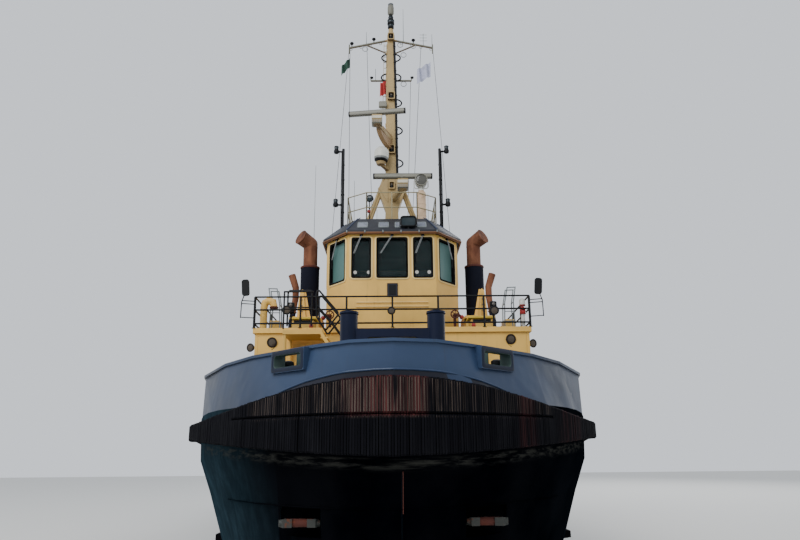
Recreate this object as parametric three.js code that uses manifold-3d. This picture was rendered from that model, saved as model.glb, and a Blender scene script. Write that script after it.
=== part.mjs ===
// A harbour tug of thirty metres, afloat: hull, superstructure, towing gear and two steerable drives.
// Millimetres. The origin is on the waterline amidships, the bow points to -Y, port is +X and up is +Z.
import * as THREE from "three";
import { mergeVertices } from "three/addons/utils/BufferGeometryUtils.js";
import Module from "manifold-3d";

const wasm = await Module();
wasm.setup();

// Driving dimensions of the hull
const BOW_Y = -14700; // stem at the deck
const STERN_Y = 14600; // transom at the deck
const HALF_BEAM = 5000;
const ENTRY = 6500; // length over which the bow rounds in
const BOW_POWER = 1.7; // fullness of the bow's outline
const CORNER = 1500; // radius of the stern's corners
const BOW_STEPS = 12;
const CORNER_STEPS = 4;
const SIDE_SHARES = [0.1, 0.2, 0.3, 0.4, 0.5, 0.6, 0.8]; // stations along the straight side
const DECK_AFT = 2250; // height of the deck aft
const SHEER = 1600; // rise of the deck from aft to the bow
const SHEER_FROM = 4000;
const SHEER_TO = -12000;
const KEEL_RISE_FROM = 1000; // the bottom rises from here to the transom
const SEAM = 0.3; // gap between pieces that touch
const SWIVEL = 0.5; // gap at a turning joint

// Heights and places of the superstructure
const WALL = 90;
const HOUSE = { front: -7250, aft: 3000, half: 4030, top: 6300 };
const BRIDGE = { front: -7320, aft: 3500, half: 4090, top: 6400 };
const WHEEL = { floor: 7400, sill: 8420, head: 9830, top: 9940, eave: 150 };
const ROOF_TOP = 10720;
const WHEEL_OUTLINE = [
  [1450, -5430],
  [2250, -4400],
  [2250, -1300],
  [1500, -600],
];
const ROOF_OUTLINE = [
  [1190, -4750],
  [1620, -4150],
  [1620, -1450],
  [1150, -900],
];
const STACK = { x: 2970, y: -3300, base: 7450, joint: 9370, bend: 10250, lower: 335, upper: 255 };
const MAST = { y: -2200, top: 19650, yard: 19500, yardTip: 19120, lowYard: 17590 };
const RAIL = 28; // radius of a rail's tube
const RAIL_SIDES = 6;
const RAIL_POST = 33; // radius of a rail's posts

// Places of the deck gear and the drives
const BITT = { y: -12550, spacing: 935, radius: 190, top: 5860, bar: 5490, barHigh: 190 };
const WINCHES = [
  { name: "bow_winch", y: -10200, half: 900, core: 330, flange: 720, height: 900 },
  { name: "aft_winch", y: 5200, half: 800, core: 300, flange: 620, height: 800 },
];
const HATCH = { y: 9200, half: 450, height: 450 };
const DRIVE = { x: 2350, y: 11400, seat: -1750, shaft: -3450, tube: 900, length: 1150 };

// Finishes: colour, roughness, metalness
const FINISHES = {
  hull: [0x14182a, 0.5, 0.1],
  bulwark: [0x46556f, 0.55, 0.1],
  rubber: [0x1c1715, 0.9, 0],
  navy: [0x1c2646, 0.5, 0.1],
  cream: [0xdcbc7d, 0.55, 0.05],
  mast: [0xc8b48c, 0.55, 0.05],
  roof: [0x2a3246, 0.5, 0.1],
  rust: [0x82503c, 0.9, 0.1],
  black: [0x16181c, 0.5, 0.1],
  grey: [0x8b8f92, 0.5, 0.2],
  white: [0xdcdcd6, 0.5, 0],
  steel: [0x9a9c9c, 0.45, 0.8],
  bronze: [0xa9803f, 0.35, 0.9],
  glass: [0x1b3a38, 0.08, 0],
};

// Solids: a closed geometry goes into the kernel with merged corners, and comes back as plain triangles
function solidOf(geometry) {
  const bare = geometry.clone();
  for (const name of Object.keys(bare.attributes)) {
    if (name !== "position") bare.deleteAttribute(name);
  }
  const merged = mergeVertices(bare, 1e-3);
  const corners = merged.index.array;
  const kept = [];
  for (let i = 0; i < corners.length; i += 3) {
    const [a, b, c] = corners.slice(i, i + 3);
    if (a !== b && b !== c && c !== a) kept.push(a, b, c);
  }
  return new wasm.Manifold(
    new wasm.Mesh({
      numProp: 3,
      vertProperties: Float32Array.from(merged.attributes.position.array),
      triVerts: Uint32Array.from(kept),
    }),
  );
}

function geometryOf(solid) {
  const { vertProperties, triVerts, numProp } = solid.getMesh();
  const places = new Float32Array((vertProperties.length / numProp) * 3);
  for (let i = 0; i < places.length / 3; i++) {
    places.set(vertProperties.subarray(i * numProp, i * numProp + 3), i * 3);
  }
  const geometry = new THREE.BufferGeometry();
  geometry.setAttribute("position", new THREE.BufferAttribute(places, 3));
  geometry.setIndex(Array.from(triVerts));
  return geometry;
}

function join(...pieces) {
  const solids = pieces.flat().map(solidOf);
  return geometryOf(solids.reduce((sum, solid) => sum.add(solid)));
}

function cut(body, ...tools) {
  return geometryOf(tools.flat().reduce((rest, tool) => rest.subtract(solidOf(tool)), solidOf(body)));
}

function common(body, tool) {
  return geometryOf(solidOf(body).intersect(solidOf(tool)));
}

function mirrored(geometry) {
  const copy = geometryOf(solidOf(geometry));
  const index = Array.from(copy.index.array);
  for (let i = 0; i < index.length; i += 3) {
    [index[i], index[i + 1]] = [index[i + 1], index[i]];
  }
  copy.setIndex(index);
  return copy.scale(-1, 1, 1);
}

// Simple shapes in the vessel's frame
function block([x0, x1], [y0, y1], [z0, z1]) {
  return new THREE.BoxGeometry(x1 - x0, y1 - y0, z1 - z0).translate(
    (x0 + x1) / 2,
    (y0 + y1) / 2,
    (z0 + z1) / 2,
  );
}

function along(geometry, from, to) {
  const start = new THREE.Vector3(...from);
  const run = new THREE.Vector3(...to).sub(start);
  const turn = new THREE.Quaternion().setFromUnitVectors(new THREE.Vector3(0, 1, 0), run.clone().normalize());
  const middle = start.add(run.multiplyScalar(0.5));
  return geometry.applyQuaternion(turn).translate(middle.x, middle.y, middle.z);
}

function rod(from, to, radius, sides = 8, endRadius = radius) {
  const length = new THREE.Vector3(...from).distanceTo(new THREE.Vector3(...to));
  return along(new THREE.CylinderGeometry(endRadius, radius, length, sides), from, to);
}

function extruded(points, depth) {
  const shape = new THREE.Shape(points.map(([x, y]) => new THREE.Vector2(x, y)));
  return new THREE.ExtrudeGeometry(shape, { depth, bevelEnabled: false, curveSegments: 6 });
}

// An outline in plan, between two heights
function slab(points, z0, z1) {
  return extruded(points, z1 - z0).translate(0, 0, z0);
}

// An outline of (y, z), between two places across the ship
function sideplate(points, x0, x1) {
  const turn = new THREE.Matrix4().makeBasis(
    new THREE.Vector3(0, 1, 0),
    new THREE.Vector3(0, 0, 1),
    new THREE.Vector3(1, 0, 0),
  );
  return extruded(points, x1 - x0).applyMatrix4(turn).translate(x0, 0, 0);
}

// An outline of (x, z), between two places along the ship
function frontplate(points, y0, y1) {
  return extruded(points, y1 - y0).rotateX(Math.PI / 2).translate(0, y1, 0);
}

// A turned body: its profile is (radius, height), about the upright through (x, y)
function turned(profile, [x, y, z], sides = 16) {
  const points = profile.map(([r, h]) => new THREE.Vector2(r, h));
  return new THREE.LatheGeometry(points, sides).rotateX(Math.PI / 2).translate(x, y, z);
}

function capTriangles(ring) {
  const middle = new THREE.Vector3();
  ring.forEach((point) => middle.add(point));
  middle.divideScalar(ring.length);
  const normal = new THREE.Vector3();
  ring.forEach((point, i) => {
    const next = ring[(i + 1) % ring.length];
    normal.add(point.clone().sub(middle).cross(next.clone().sub(middle)));
  });
  normal.normalize();
  const across = ring[Math.floor(ring.length / 2)].clone().sub(ring[0]).normalize();
  const up = normal.clone().cross(across);
  const flat = ring.map((point) => new THREE.Vector2(point.dot(across), point.dot(up)));
  return THREE.ShapeUtils.triangulateShape(flat, []);
}

// A skin over rings of equal count. Rings that fall together on a line need no cap
function loft(rings, capped = true) {
  const count = rings[0].length;
  const at = (ring, i) => ring * count + (i % count);
  const triangles = [];
  for (let r = 0; r < rings.length - 1; r++) {
    for (let i = 0; i < count; i++) {
      triangles.push(at(r, i), at(r + 1, i + 1), at(r + 1, i), at(r, i), at(r, i + 1), at(r + 1, i + 1));
    }
  }
  if (capped) {
    for (const face of capTriangles(rings[0])) {
      const [a, b, c] = ordered(face);
      triangles.push(a, c, b);
    }
    for (const face of capTriangles(rings.at(-1))) {
      const [a, b, c] = ordered(face);
      triangles.push(at(rings.length - 1, a), at(rings.length - 1, b), at(rings.length - 1, c));
    }
  }
  const geometry = new THREE.BufferGeometry();
  const places = rings.flat().flatMap((point) => [point.x, point.y, point.z]);
  geometry.setAttribute("position", new THREE.Float32BufferAttribute(places, 3));
  geometry.setIndex(triangles);
  if (volumeOf(geometry) > 0) return geometry;
  for (let i = 0; i < triangles.length; i += 3) {
    [triangles[i], triangles[i + 1]] = [triangles[i + 1], triangles[i]];
  }
  geometry.setIndex(triangles);
  return geometry;
}

// A cap's triangle with its corners in the order of the ring
function ordered([a, b, c]) {
  const turns = (a < b) + (b < c) + (c < a);
  return turns === 2 ? [a, b, c] : [a, c, b];
}

function volumeOf(geometry) {
  const place = geometry.attributes.position;
  const corner = (i) => new THREE.Vector3().fromBufferAttribute(place, geometry.index.array[i]);
  let volume = 0;
  for (let i = 0; i < geometry.index.count; i += 3) {
    volume += corner(i).dot(corner(i + 1).cross(corner(i + 2))) / 6;
  }
  return volume;
}

// Lines that run lengthwise, skinned crosswise: each ring takes the same point of every line
function skin(lines, capped = true) {
  return loft(
    lines[0].map((_, i) => lines.map((line) => line[i])),
    capped,
  );
}

// The hull's outline
function smooth(from, to, y) {
  const s = THREE.MathUtils.clamp((y - from) / (to - from), 0, 1);
  return s * s * (3 - 2 * s);
}

function sheer(y) {
  return DECK_AFT + SHEER * smooth(SHEER_FROM, SHEER_TO, y);
}

// Half of an outline in plan, from the stem to the middle of the transom
function halfOutline(half, bow, stern, { entry = ENTRY, power = BOW_POWER, corner = CORNER } = {}) {
  const points = [];
  for (let i = 0; i <= BOW_STEPS; i++) {
    const a = (i / BOW_STEPS) * (Math.PI / 2);
    const x = half * Math.sin(a) ** (2 / power);
    const y = bow + entry * (1 - Math.cos(a) ** (2 / power));
    points.push([i ? x : 0, y]);
  }
  for (const share of SIDE_SHARES) {
    points.push([half, THREE.MathUtils.lerp(bow + entry, stern - corner, share)]);
  }
  for (let i = 0; i <= CORNER_STEPS; i++) {
    const a = (i / CORNER_STEPS) * (Math.PI / 2);
    points.push([half - corner + corner * Math.cos(a), stern - corner + corner * Math.sin(a)]);
  }
  points.push([0, stern]);
  return points;
}

const DECK_OUTLINE = halfOutline(HALF_BEAM, BOW_Y, STERN_Y);
const SIDE_STATIONS = DECK_OUTLINE.slice(BOW_STEPS, BOW_STEPS + SIDE_SHARES.length + 2).map(([, y]) => y);

// The deck's height between its stations, which are joined by straight lines
function deckZ(y) {
  const i = DECK_OUTLINE.findIndex(([, next]) => next > y);
  const [y0, y1] = [DECK_OUTLINE[i - 1][1], DECK_OUTLINE[i][1]];
  return THREE.MathUtils.lerp(sheer(y0), sheer(y1), (y - y0) / (y1 - y0));
}

// A path from port, round the bow or the stern, to starboard, for the points of half an outline
function roundTo(points) {
  const port = points.map(([x, y, z]) => new THREE.Vector3(x, y, z));
  const starboard = port
    .filter((point) => point.x > 0)
    .map((point) => new THREE.Vector3(-point.x, point.y, point.z));
  return port[0].x === 0 ? [...port.reverse(), ...starboard] : [...port, ...starboard.reverse()];
}

function shifted(path, distance, rise = 0) {
  return path.map((point, i) => {
    const before = path[Math.max(i - 1, 0)];
    const after = path[Math.min(i + 1, path.length - 1)];
    const normals = [point.clone().sub(before), after.clone().sub(point)]
      .filter((run) => Math.hypot(run.x, run.y) > 0)
      .map((run) => new THREE.Vector3(-run.y, run.x, 0).normalize());
    const normal = normals.reduce((sum, one) => sum.clone().add(one)).normalize();
    const reach = distance / normal.dot(normals[0]);
    return new THREE.Vector3(point.x + normal.x * reach, point.y + normal.y * reach, point.z + rise);
  });
}

// The hull's levels: height at the bow and its rise at the stern, half-breadth, bow, stern and entry
const HULL_LEVELS = [
  { z: null, rise: 0, half: HALF_BEAM, bow: BOW_Y, stern: STERN_Y, entry: ENTRY, power: BOW_POWER },
  { z: 2850, rise: -1350, half: 4990, bow: -14640, stern: 14590, entry: 6600, power: BOW_POWER },
  { z: 0, rise: 0, half: 4930, bow: -13700, stern: 14500, entry: 10000, power: 1.75 },
  { z: -1700, rise: 1400, half: 4700, bow: -13200, stern: 14300, entry: 10500, power: 1.8 },
  { z: -2800, rise: 2000, half: 3900, bow: -12400, stern: 14100, entry: 10300, power: 1.85 },
  { z: -3300, rise: 2200, half: 2300, bow: -11400, stern: 13900, entry: 9400, power: 1.9 },
];

function levelZ(level, y) {
  if (level.z === null) return sheer(y);
  const fromBelt = level.rise < 0;
  const s = fromBelt ? smooth(SHEER_TO, SHEER_FROM, y) : smooth(KEEL_RISE_FROM, STERN_Y, y);
  return level.z + level.rise * s;
}

function levelPoints(level) {
  const { half, bow, stern, entry, power } = level;
  return halfOutline(half, bow, stern, { entry, power }).map(([x, y]) => [x, y, levelZ(level, y)]);
}

const BOTTOM_LINE = levelPoints(HULL_LEVELS.at(-1)).map(([, y, z]) => [y, z]);

function driveSeat(x) {
  return rod([x, DRIVE.y, DRIVE.seat], [x, DRIVE.y, 0], 850, 24);
}

function anchorPocket(x) {
  return block([x - 420, x + 420], [-15500, -13000], [1420, 1960]);
}

function hullBody() {
  const lines = HULL_LEVELS.map((level) => levelPoints(level).map((point) => new THREE.Vector3(...point)));
  const centre = [lines[0], lines.at(-1)].map((line) => line.map(({ y, z }) => new THREE.Vector3(0, y, z)));
  const port = skin([centre[0], ...lines, centre[1]]);
  const body = join(port, mirrored(port));
  const pockets = [-1, 1].map((side) => anchorPocket(side * 1750));
  const coaming = block([-HATCH.half, HATCH.half], [HATCH.y - HATCH.half, HATCH.y + HATCH.half], [
    deckZ(HATCH.y) - 200,
    deckZ(HATCH.y) + HATCH.height,
  ]);
  const well = block(
    [-HATCH.half + 60, HATCH.half - 60],
    [HATCH.y - HATCH.half + 60, HATCH.y + HATCH.half - 60],
    [deckZ(HATCH.y) - 500, deckZ(HATCH.y) + HATCH.height + 10],
  );
  return cut(join(body, driveSeat(DRIVE.x), driveSeat(-DRIVE.x), coaming), ...pockets, well);
}

const HULL = hullBody();
const DECK_TOOL = HULL.clone().translate(0, 0, SEAM);

// A piece that stands on the deck starts inside it, and is cut to its surface
const SUNK = 120;
function onDeck(piece) {
  return cut(piece, DECK_TOOL);
}

function skeg() {
  const from = -9800;
  const to = 7600;
  const height = (y) => {
    const i = BOTTOM_LINE.findIndex(([next]) => next > y);
    const [[y0, z0], [y1, z1]] = [BOTTOM_LINE[i - 1], BOTTOM_LINE[i]];
    return THREE.MathUtils.lerp(z0, z1, (y - y0) / (y1 - y0));
  };
  const between = BOTTOM_LINE.map(([y]) => y).filter((y) => y > from && y < to);
  const top = [from, ...between, to].map((y) => [y, height(y) - SEAM]);
  const foot = [
    [to - 500, -4300],
    [from + 1500, -4300],
  ];
  return sideplate([...top, ...foot], -140, 140);
}

// The bulwark: its forward stations, from the stem aft, where the plates are creased
const BULWARK = { thick: 80, capWide: 170, capHigh: 60 };
const BOW_BULWARK = [
  { topHalf: 0, topY: -14690, footHalf: 0, footY: -14660, height: 1040 },
  { topHalf: 780, topY: -14490, footHalf: 950, footY: -14440, height: 1040 },
  { topHalf: 1440, topY: -13950, footHalf: 1750, footY: -14000, height: 1040 },
  { topHalf: 2950, topY: -12500, footHalf: 3220, footY: -12600, height: 1030 },
  { topHalf: 3770, topY: -11450, footHalf: 3990, footY: -11450, height: 1000 },
  { topHalf: 4660, topY: -9850, footHalf: 4690, footY: -9850, height: 980 },
  { topHalf: 4930, topY: -8200, footHalf: 4960, footY: -8200, height: 980 },
];
const SIDE_HEIGHT = 980;

function bulwarkSection(foot, top) {
  const wide = (BULWARK.capWide - BULWARK.thick) / 2;
  return skin([
    foot,
    top,
    shifted(top, wide),
    shifted(top, wide, BULWARK.capHigh),
    shifted(top, -BULWARK.thick - wide, BULWARK.capHigh),
    shifted(top, -BULWARK.thick - wide),
    shifted(top, -BULWARK.thick),
    shifted(foot, -BULWARK.thick),
  ]);
}

// The chock in a creased plate of the bow: an opening under the cap, with a frame round it
const CHOCK = { x: 2000, y: -13480, along: 900, low: 4560, high: 4840, frame: 80, turn: Math.PI / 4 };

function chockBlock(side, grow, thick) {
  const box = new THREE.BoxGeometry(
    CHOCK.along + grow * 2,
    thick,
    CHOCK.high - CHOCK.low + grow * 2,
  );
  return box
    .rotateZ(side * CHOCK.turn)
    .translate(side * CHOCK.x, CHOCK.y, (CHOCK.low + CHOCK.high) / 2);
}

function bowBulwark() {
  const foot = BOW_BULWARK.map(({ footHalf, footY }) => [footHalf, footY, sheer(footY) - SUNK]);
  const top = BOW_BULWARK.map(({ topHalf, topY, height }) => [topHalf, topY, sheer(topY) + height]);
  const wall = bulwarkSection(roundTo(foot), roundTo(top));
  const sides = [-1, 1];
  const frames = sides.map((side) => chockBlock(side, CHOCK.frame, 220));
  const holes = sides.map((side) => chockBlock(side, 0, 700));
  const end = SIDE_STATIONS[0];
  const beyond = block([-6000, 6000], [end, end + 1000], [0, 9000]);
  return onDeck(cut(join(wall, ...frames), ...holes, beyond));
}

function sideBulwark() {
  const foot = SIDE_STATIONS.map((y, i) => {
    const place = y + (i ? 0 : SEAM);
    return new THREE.Vector3(HALF_BEAM - 40, place, sheer(place) - SUNK);
  });
  const top = foot.map((point) => new THREE.Vector3(point.x, point.y, point.z + SUNK + SIDE_HEIGHT));
  return onDeck(bulwarkSection(foot.reverse(), top.reverse()));
}

function sternBulwark() {
  const inset = halfOutline(HALF_BEAM - 40, BOW_Y, STERN_Y - 40, { corner: CORNER - 40 });
  const arc = inset.slice(-CORNER_STEPS - 2);
  arc[0] = [HALF_BEAM - 40, STERN_Y - CORNER + SEAM];
  const foot = roundTo(arc.map(([x, y]) => [x, y, DECK_AFT - SUNK])).reverse();
  const top = foot.map((point) => new THREE.Vector3(point.x, point.y, point.z + SUNK + SIDE_HEIGHT));
  const freeing = [-1, 1].map((side) => {
    const x = side * 2100;
    return block([x - 600, x + 600], [STERN_Y - 600, STERN_Y + 600], [DECK_AFT + 480, DECK_AFT + 760]);
  });
  const end = STERN_Y - CORNER + SEAM;
  const beyond = block([-6000, 6000], [end - 1000, end], [0, 9000]);
  return onDeck(cut(bulwarkSection(foot, top), ...freeing, beyond));
}

// The bow fender: two rows of upright rubber blocks from the stem round to both shoulders, arched on top
const BOW_FENDER = {
  out: 400,
  sideOut: 270,
  rise: 650, // the arch over the ends
  topEnd: 3600,
  bottom: 2880,
  bottomRise: 340,
  reach: 4700, // half-breadth at which the arch ends
  chamfer: 60,
  rows: 3590, // height of the slot between the rows
  slot: 24,
  slotDeep: 70,
  block: 540, // along the fender
};

function fenderTop(x) {
  const share = Math.min(x / BOW_FENDER.reach, 1);
  return BOW_FENDER.topEnd + BOW_FENDER.rise * (1 - share ** 2) ** 1.8;
}

function fenderBottom(x) {
  return BOW_FENDER.bottom + BOW_FENDER.bottomRise * Math.min(x / BOW_FENDER.reach, 1) ** 1.5;
}

// The fender's plan line, out times its full depth away from the hull
function fenderLine(out, height) {
  const half = HALF_BEAM + SEAM + BOW_FENDER.sideOut * out;
  const bow = BOW_Y - SEAM - BOW_FENDER.out * out;
  const points = halfOutline(half, bow, STERN_Y, { entry: ENTRY + BOW_FENDER.out * out });
  return roundTo(points.slice(0, BOW_STEPS + 1).map(([x, y]) => [x, y, height(x)]));
}

function bowFender() {
  const { chamfer, rows, slot, slotDeep, block: step, out } = BOW_FENDER;
  const body = skin([
    fenderLine(0, fenderBottom),
    fenderLine(1, (x) => fenderBottom(x) + chamfer),
    fenderLine(1, (x) => fenderTop(x) - chamfer),
    fenderLine(0, fenderTop),
  ]);
  const near = 1 - slotDeep / out;
  const rowSlot = skin([
    fenderLine(near, () => rows - slot / 2),
    fenderLine(1.5, () => rows - slot / 2),
    fenderLine(1.5, () => rows + slot / 2),
    fenderLine(near, () => rows + slot / 2),
  ]);
  const face = new THREE.CurvePath();
  const line = fenderLine(1, () => 0);
  line.slice(1).forEach((point, i) => face.add(new THREE.LineCurve3(line[i], point)));
  const joints = Array.from({ length: Math.floor(face.getLength() / step) }, (_, i) => {
    const share = ((i + 0.5) * step) / face.getLength();
    const place = face.getPointAt(share);
    const ahead = face.getTangentAt(share);
    return new THREE.BoxGeometry(slot, slotDeep * 2, 2400)
      .rotateZ(Math.atan2(ahead.y, ahead.x))
      .translate(place.x, place.y, rows);
  });
  return cut(body, rowSlot, ...joints);
}

// A belt or strake of rubber along the side: its section is (out, height) from the deck's edge or from
// the waterline
const BELT = { out: 250, high: 480 };
const STRAKE = { out: 200, high: 300, z: 700, root: 260, from: -5800, to: 11000 };

function sideBelt() {
  const places = [SIDE_STATIONS[0] + SEAM, ...SIDE_STATIONS.slice(1)];
  const line = (out, rise) =>
    places.map((y) => new THREE.Vector3(HALF_BEAM + out, y, sheer(y) + rise));
  return skin([
    line(SEAM, 0),
    line(BELT.out, -70),
    line(BELT.out, -BELT.high + 70),
    line(SEAM, -BELT.high),
  ]);
}

function sideStrake() {
  const line = (out, rise) =>
    [STRAKE.from, STRAKE.to].map((y) => new THREE.Vector3(HALF_BEAM + out, y, STRAKE.z + rise));
  const tapered = skin([
    line(-STRAKE.root, 0),
    line(STRAKE.out, -60),
    line(STRAKE.out, -STRAKE.high + 60),
    line(-STRAKE.root, -STRAKE.high),
  ]);
  return tapered;
}

function sternFender() {
  const inner = halfOutline(HALF_BEAM + SEAM, BOW_Y, STERN_Y + SEAM, { corner: CORNER + SEAM });
  const outer = halfOutline(HALF_BEAM + BELT.out, BOW_Y, STERN_Y + 300, { corner: CORNER + 280 });
  const line = (points, z) => {
    const arc = points.slice(-CORNER_STEPS - 2);
    arc[0] = [arc[0][0], STERN_Y - CORNER + SEAM];
    return roundTo(arc.map(([x, y]) => [x, y, z]));
  };
  const top = DECK_AFT;
  return skin([line(inner, top), line(outer, top - 70), line(outer, top - 900), line(inner, top - 1000)]);
}

// Deck gear
function towBitt() {
  const floor = deckZ(BITT.y) - SUNK;
  const knee = [
    [BITT.y, floor],
    [BITT.y + 900, floor],
    [BITT.y + 100, floor + 1150],
    [BITT.y, floor + 1150],
  ];
  const posts = [-1, 1].flatMap((side) => {
    const x = side * BITT.spacing;
    return [
      rod([x, BITT.y, floor], [x, BITT.y, BITT.top], BITT.radius, 24),
      rod([x, BITT.y, BITT.top - 45], [x, BITT.y, BITT.top], BITT.radius + 16, 24),
      sideplate(knee, x - 20, x + 20),
    ];
  });
  // The bar between the posts widens toward them
  const { bar, barHigh, spacing } = BITT;
  const outline = [
    [-spacing, bar - barHigh - 170],
    [-spacing, bar],
    [spacing, bar],
    [spacing, bar - barHigh - 170],
    [spacing - 300, bar - barHigh - 80],
    [spacing - 460, bar - barHigh],
    [-spacing + 460, bar - barHigh],
    [-spacing + 300, bar - barHigh - 80],
  ];
  const gussets = frontplate(outline, BITT.y - 110, BITT.y + 110);
  const foot = block([-1350, 1350], [BITT.y - 320, BITT.y + 950], [floor, floor + SUNK + 50]);
  return onDeck(join(...posts, gussets, foot));
}

function anchor(side) {
  const x = side * 1750;
  const back = -13000 - SEAM;
  const crown = block([x - 330, x + 330], [back - 520, back - 260], [1560, 1800]);
  const shank = block([x - 80, x + 80], [back - 400, back], [1620, 1740]);
  const flukes = [-1, 1].map((end) => {
    const blade = [
      [x + end * 330, back - 520],
      [x + end * 400, back - 300],
      [x + end * 150, back - 60],
      [x + end * 130, back - 300],
    ];
    return slab(blade, 1600, 1760);
  });
  return join(crown, shank, ...flukes);
}

function winchFrame({ y, half, core, flange, height }) {
  const floor = deckZ(y);
  const axis = floor + height;
  const sunk = floor - SUNK;
  const cheek = [
    [y - 700, sunk],
    [y + 700, sunk],
    [y + 260, axis + 250],
    [y - 260, axis + 250],
  ];
  const cheeks = [-1, 1].map((side) => sideplate(cheek, side * (half + 40) - 40, side * (half + 40) + 40));
  const motor = rod([half + 60, y, axis], [half + 560, y, axis], core * 0.8, 16);
  const bed = block([-half - 80, half + 80], [y - 700, y + 700], [sunk, floor + 80]);
  const ties = [-1, 1].map((end) => {
    const place = y + end * (flange * 0.55 + 60);
    return rod([-half - 40, place, floor + 100], [half + 40, place, floor + 100], 45, 8);
  });
  return onDeck(join(...cheeks, motor, bed, ...ties));
}

function winchDrum({ y, half, core, flange, height }) {
  const end = half - SWIVEL;
  const profile = [
    [0, -end],
    [110, -end],
    [110, -end + 60],
    [flange, -end + 60],
    [flange, -end + 100],
    [core, -end + 100],
    [core, end - 100],
    [flange, end - 100],
    [flange, end - 60],
    [110, end - 60],
    [110, end],
    [0, end],
  ];
  return turned(profile, [0, 0, 0], 24).rotateY(Math.PI / 2).translate(0, y, deckZ(y) + height);
}

function hatchLid() {
  const z = deckZ(HATCH.y) + HATCH.height + SEAM;
  const reach = HATCH.half + 40;
  const plate = block([-reach, reach], [HATCH.y - reach, HATCH.y + reach], [z, z + 60]);
  const wheel = rod([0, HATCH.y, z + 50], [0, HATCH.y, z + 150], 35, 8);
  const rim = rod([0, HATCH.y, z + 130], [0, HATCH.y, z + 160], 160, 12);
  return join(plate, wheel, rim);
}

function aftBitt() {
  const y = 11600;
  const floor = DECK_AFT - SUNK;
  const posts = [-1, 1].map((side) => rod([side * 600, y, floor], [side * 600, y, floor + 1000], 150, 14));
  const bar = rod([-850, y, floor + 700], [850, y, floor + 700], 100, 12);
  const foot = block([-900, 900], [y - 260, y + 260], [floor, floor + SUNK + 30]);
  return onDeck(join(...posts, bar, foot));
}

// The deckhouse
function houseSide() {
  const low = deckZ(HOUSE.aft) - SUNK;
  const outline = [
    [HOUSE.front, low],
    [HOUSE.aft, low],
    [HOUSE.aft, HOUSE.top],
    [HOUSE.front, HOUSE.top],
  ];
  return onDeck(cut(sideplate(outline, HOUSE.half - WALL, HOUSE.half), doorway(HOUSE_DOOR)));
}

function houseEnd(y) {
  const inner = HOUSE.half - WALL - SEAM;
  return onDeck(block([-inner, inner], [y, y + WALL], [deckZ(y) - SUNK, HOUSE.top]));
}

// A weathertight door stands proud of its wall on a hinge line of its own, between two fixed lugs
const DOOR = { proud: 10, thick: 60, knuckle: 30, overlap: 45, lug: 200, foot: 80 };
const HOUSE_DOOR = { wide: 620, high: 1800, y: -1400, sill: 3150 };
const WHEEL_DOOR = { wide: 660, high: 1800, sill: 6520 };

function doorway({ wide, high, y, sill }) {
  return block([HOUSE.half - WALL - 50, HOUSE.half + 50], [y, y + wide], [sill, sill + high]);
}

// Leaf and lugs in a frame of their own: the wall is the plane y = 0, the leaf opens toward -y about x = 0
function doorLeaf({ wide, high }) {
  const near = -DOOR.proud;
  const far = near - DOOR.thick;
  const leaf = block([0, wide + DOOR.overlap * 2], [far, near], [-DOOR.overlap, high + DOOR.overlap]);
  const axis = (near + far) / 2;
  const knuckle = rod([0, axis, DOOR.lug], [0, axis, high - DOOR.lug], DOOR.knuckle, 12);
  const ends = [
    [-DOOR.overlap - 10, DOOR.lug],
    [high - DOOR.lug, high + DOOR.overlap + 10],
  ];
  const notches = ends.map((span) => block([-100, 60], [far - 50, near + 50], span));
  return join(cut(leaf, ...notches), knuckle);
}

function doorLugs({ high }) {
  const axis = -DOOR.proud - DOOR.thick / 2;
  return [0, 1].flatMap((top) => {
    const z0 = top ? high - DOOR.lug + SWIVEL : DOOR.foot;
    const z1 = top ? high - DOOR.foot : DOOR.lug - SWIVEL;
    return [
      rod([0, axis, z0], [0, axis, z1], DOOR.knuckle, 12),
      block([-30, 15], [axis, 40], [z0, z1]),
    ];
  });
}

// A door's frame in the ship: its hinge line, and the wall's outward direction as a turn about Z
const DOORS = [
  {
    x: HOUSE.half,
    y: HOUSE_DOOR.y - DOOR.overlap,
    z: HOUSE_DOOR.sill,
    turn: Math.PI / 2,
    door: HOUSE_DOOR,
  },
  { x: WHEEL_DOOR.wide / 2 + DOOR.overlap, y: -600, z: WHEEL_DOOR.sill, turn: Math.PI, door: WHEEL_DOOR },
];

function inShip(geometry, { x, y, z, turn }) {
  return geometry.rotateZ(turn).translate(x, y, z);
}

function bridgeDeck() {
  const [across, length] = [[-BRIDGE.half, BRIDGE.half], [BRIDGE.front, BRIDGE.aft]];
  const plate = block(across, length, [HOUSE.top + SEAM, BRIDGE.top]);
  const lip = cut(
    block(across, length, [BRIDGE.top - 10, BRIDGE.top + 60]),
    block([-BRIDGE.half + 40, BRIDGE.half - 40], [BRIDGE.front + 40, BRIDGE.aft - 40], [
      BRIDGE.top - 50,
      BRIDGE.top + 100,
    ]),
  );
  return join(plate, lip, exhaustCasing(), mirrored(exhaustCasing()), ventHouse());
}

const STAIR = { x: -1980, left: -3030, y0: -8450, y1: BRIDGE.front - SEAM, top: 6200, run: 1750, steps: 9 };

function foreStair() {
  const { x, left, y0, y1, top, run, steps } = STAIR;
  const floor = deckZ(y0) - SUNK;
  const landing = block([left, x + 40], [y0, y1], [top - 120, top]);
  const slope = [
    [x, top - 160],
    [x, top],
    [x + run, floor],
    [x + run - 160, floor],
  ];
  const stringers = [y0, y1 - 60 - 400].map((y) => frontplate(slope, y, y + 60));
  const treads = Array.from({ length: steps }, (_, i) => {
    const s = (i + 0.6) / steps;
    const z = THREE.MathUtils.lerp(top, floor, s) - 60;
    const at = x + run * s;
    return block([at - 120, at + 80], [y0 + 10, y1 - 410], [z, z + 35]);
  });
  const legs = [y0 + 60, y1 - 60].map((y) => rod([left + 60, y, floor], [left + 60, y, top - 60], 45, 8));
  return onDeck(join(landing, ...stringers, ...treads, ...legs));
}

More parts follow.
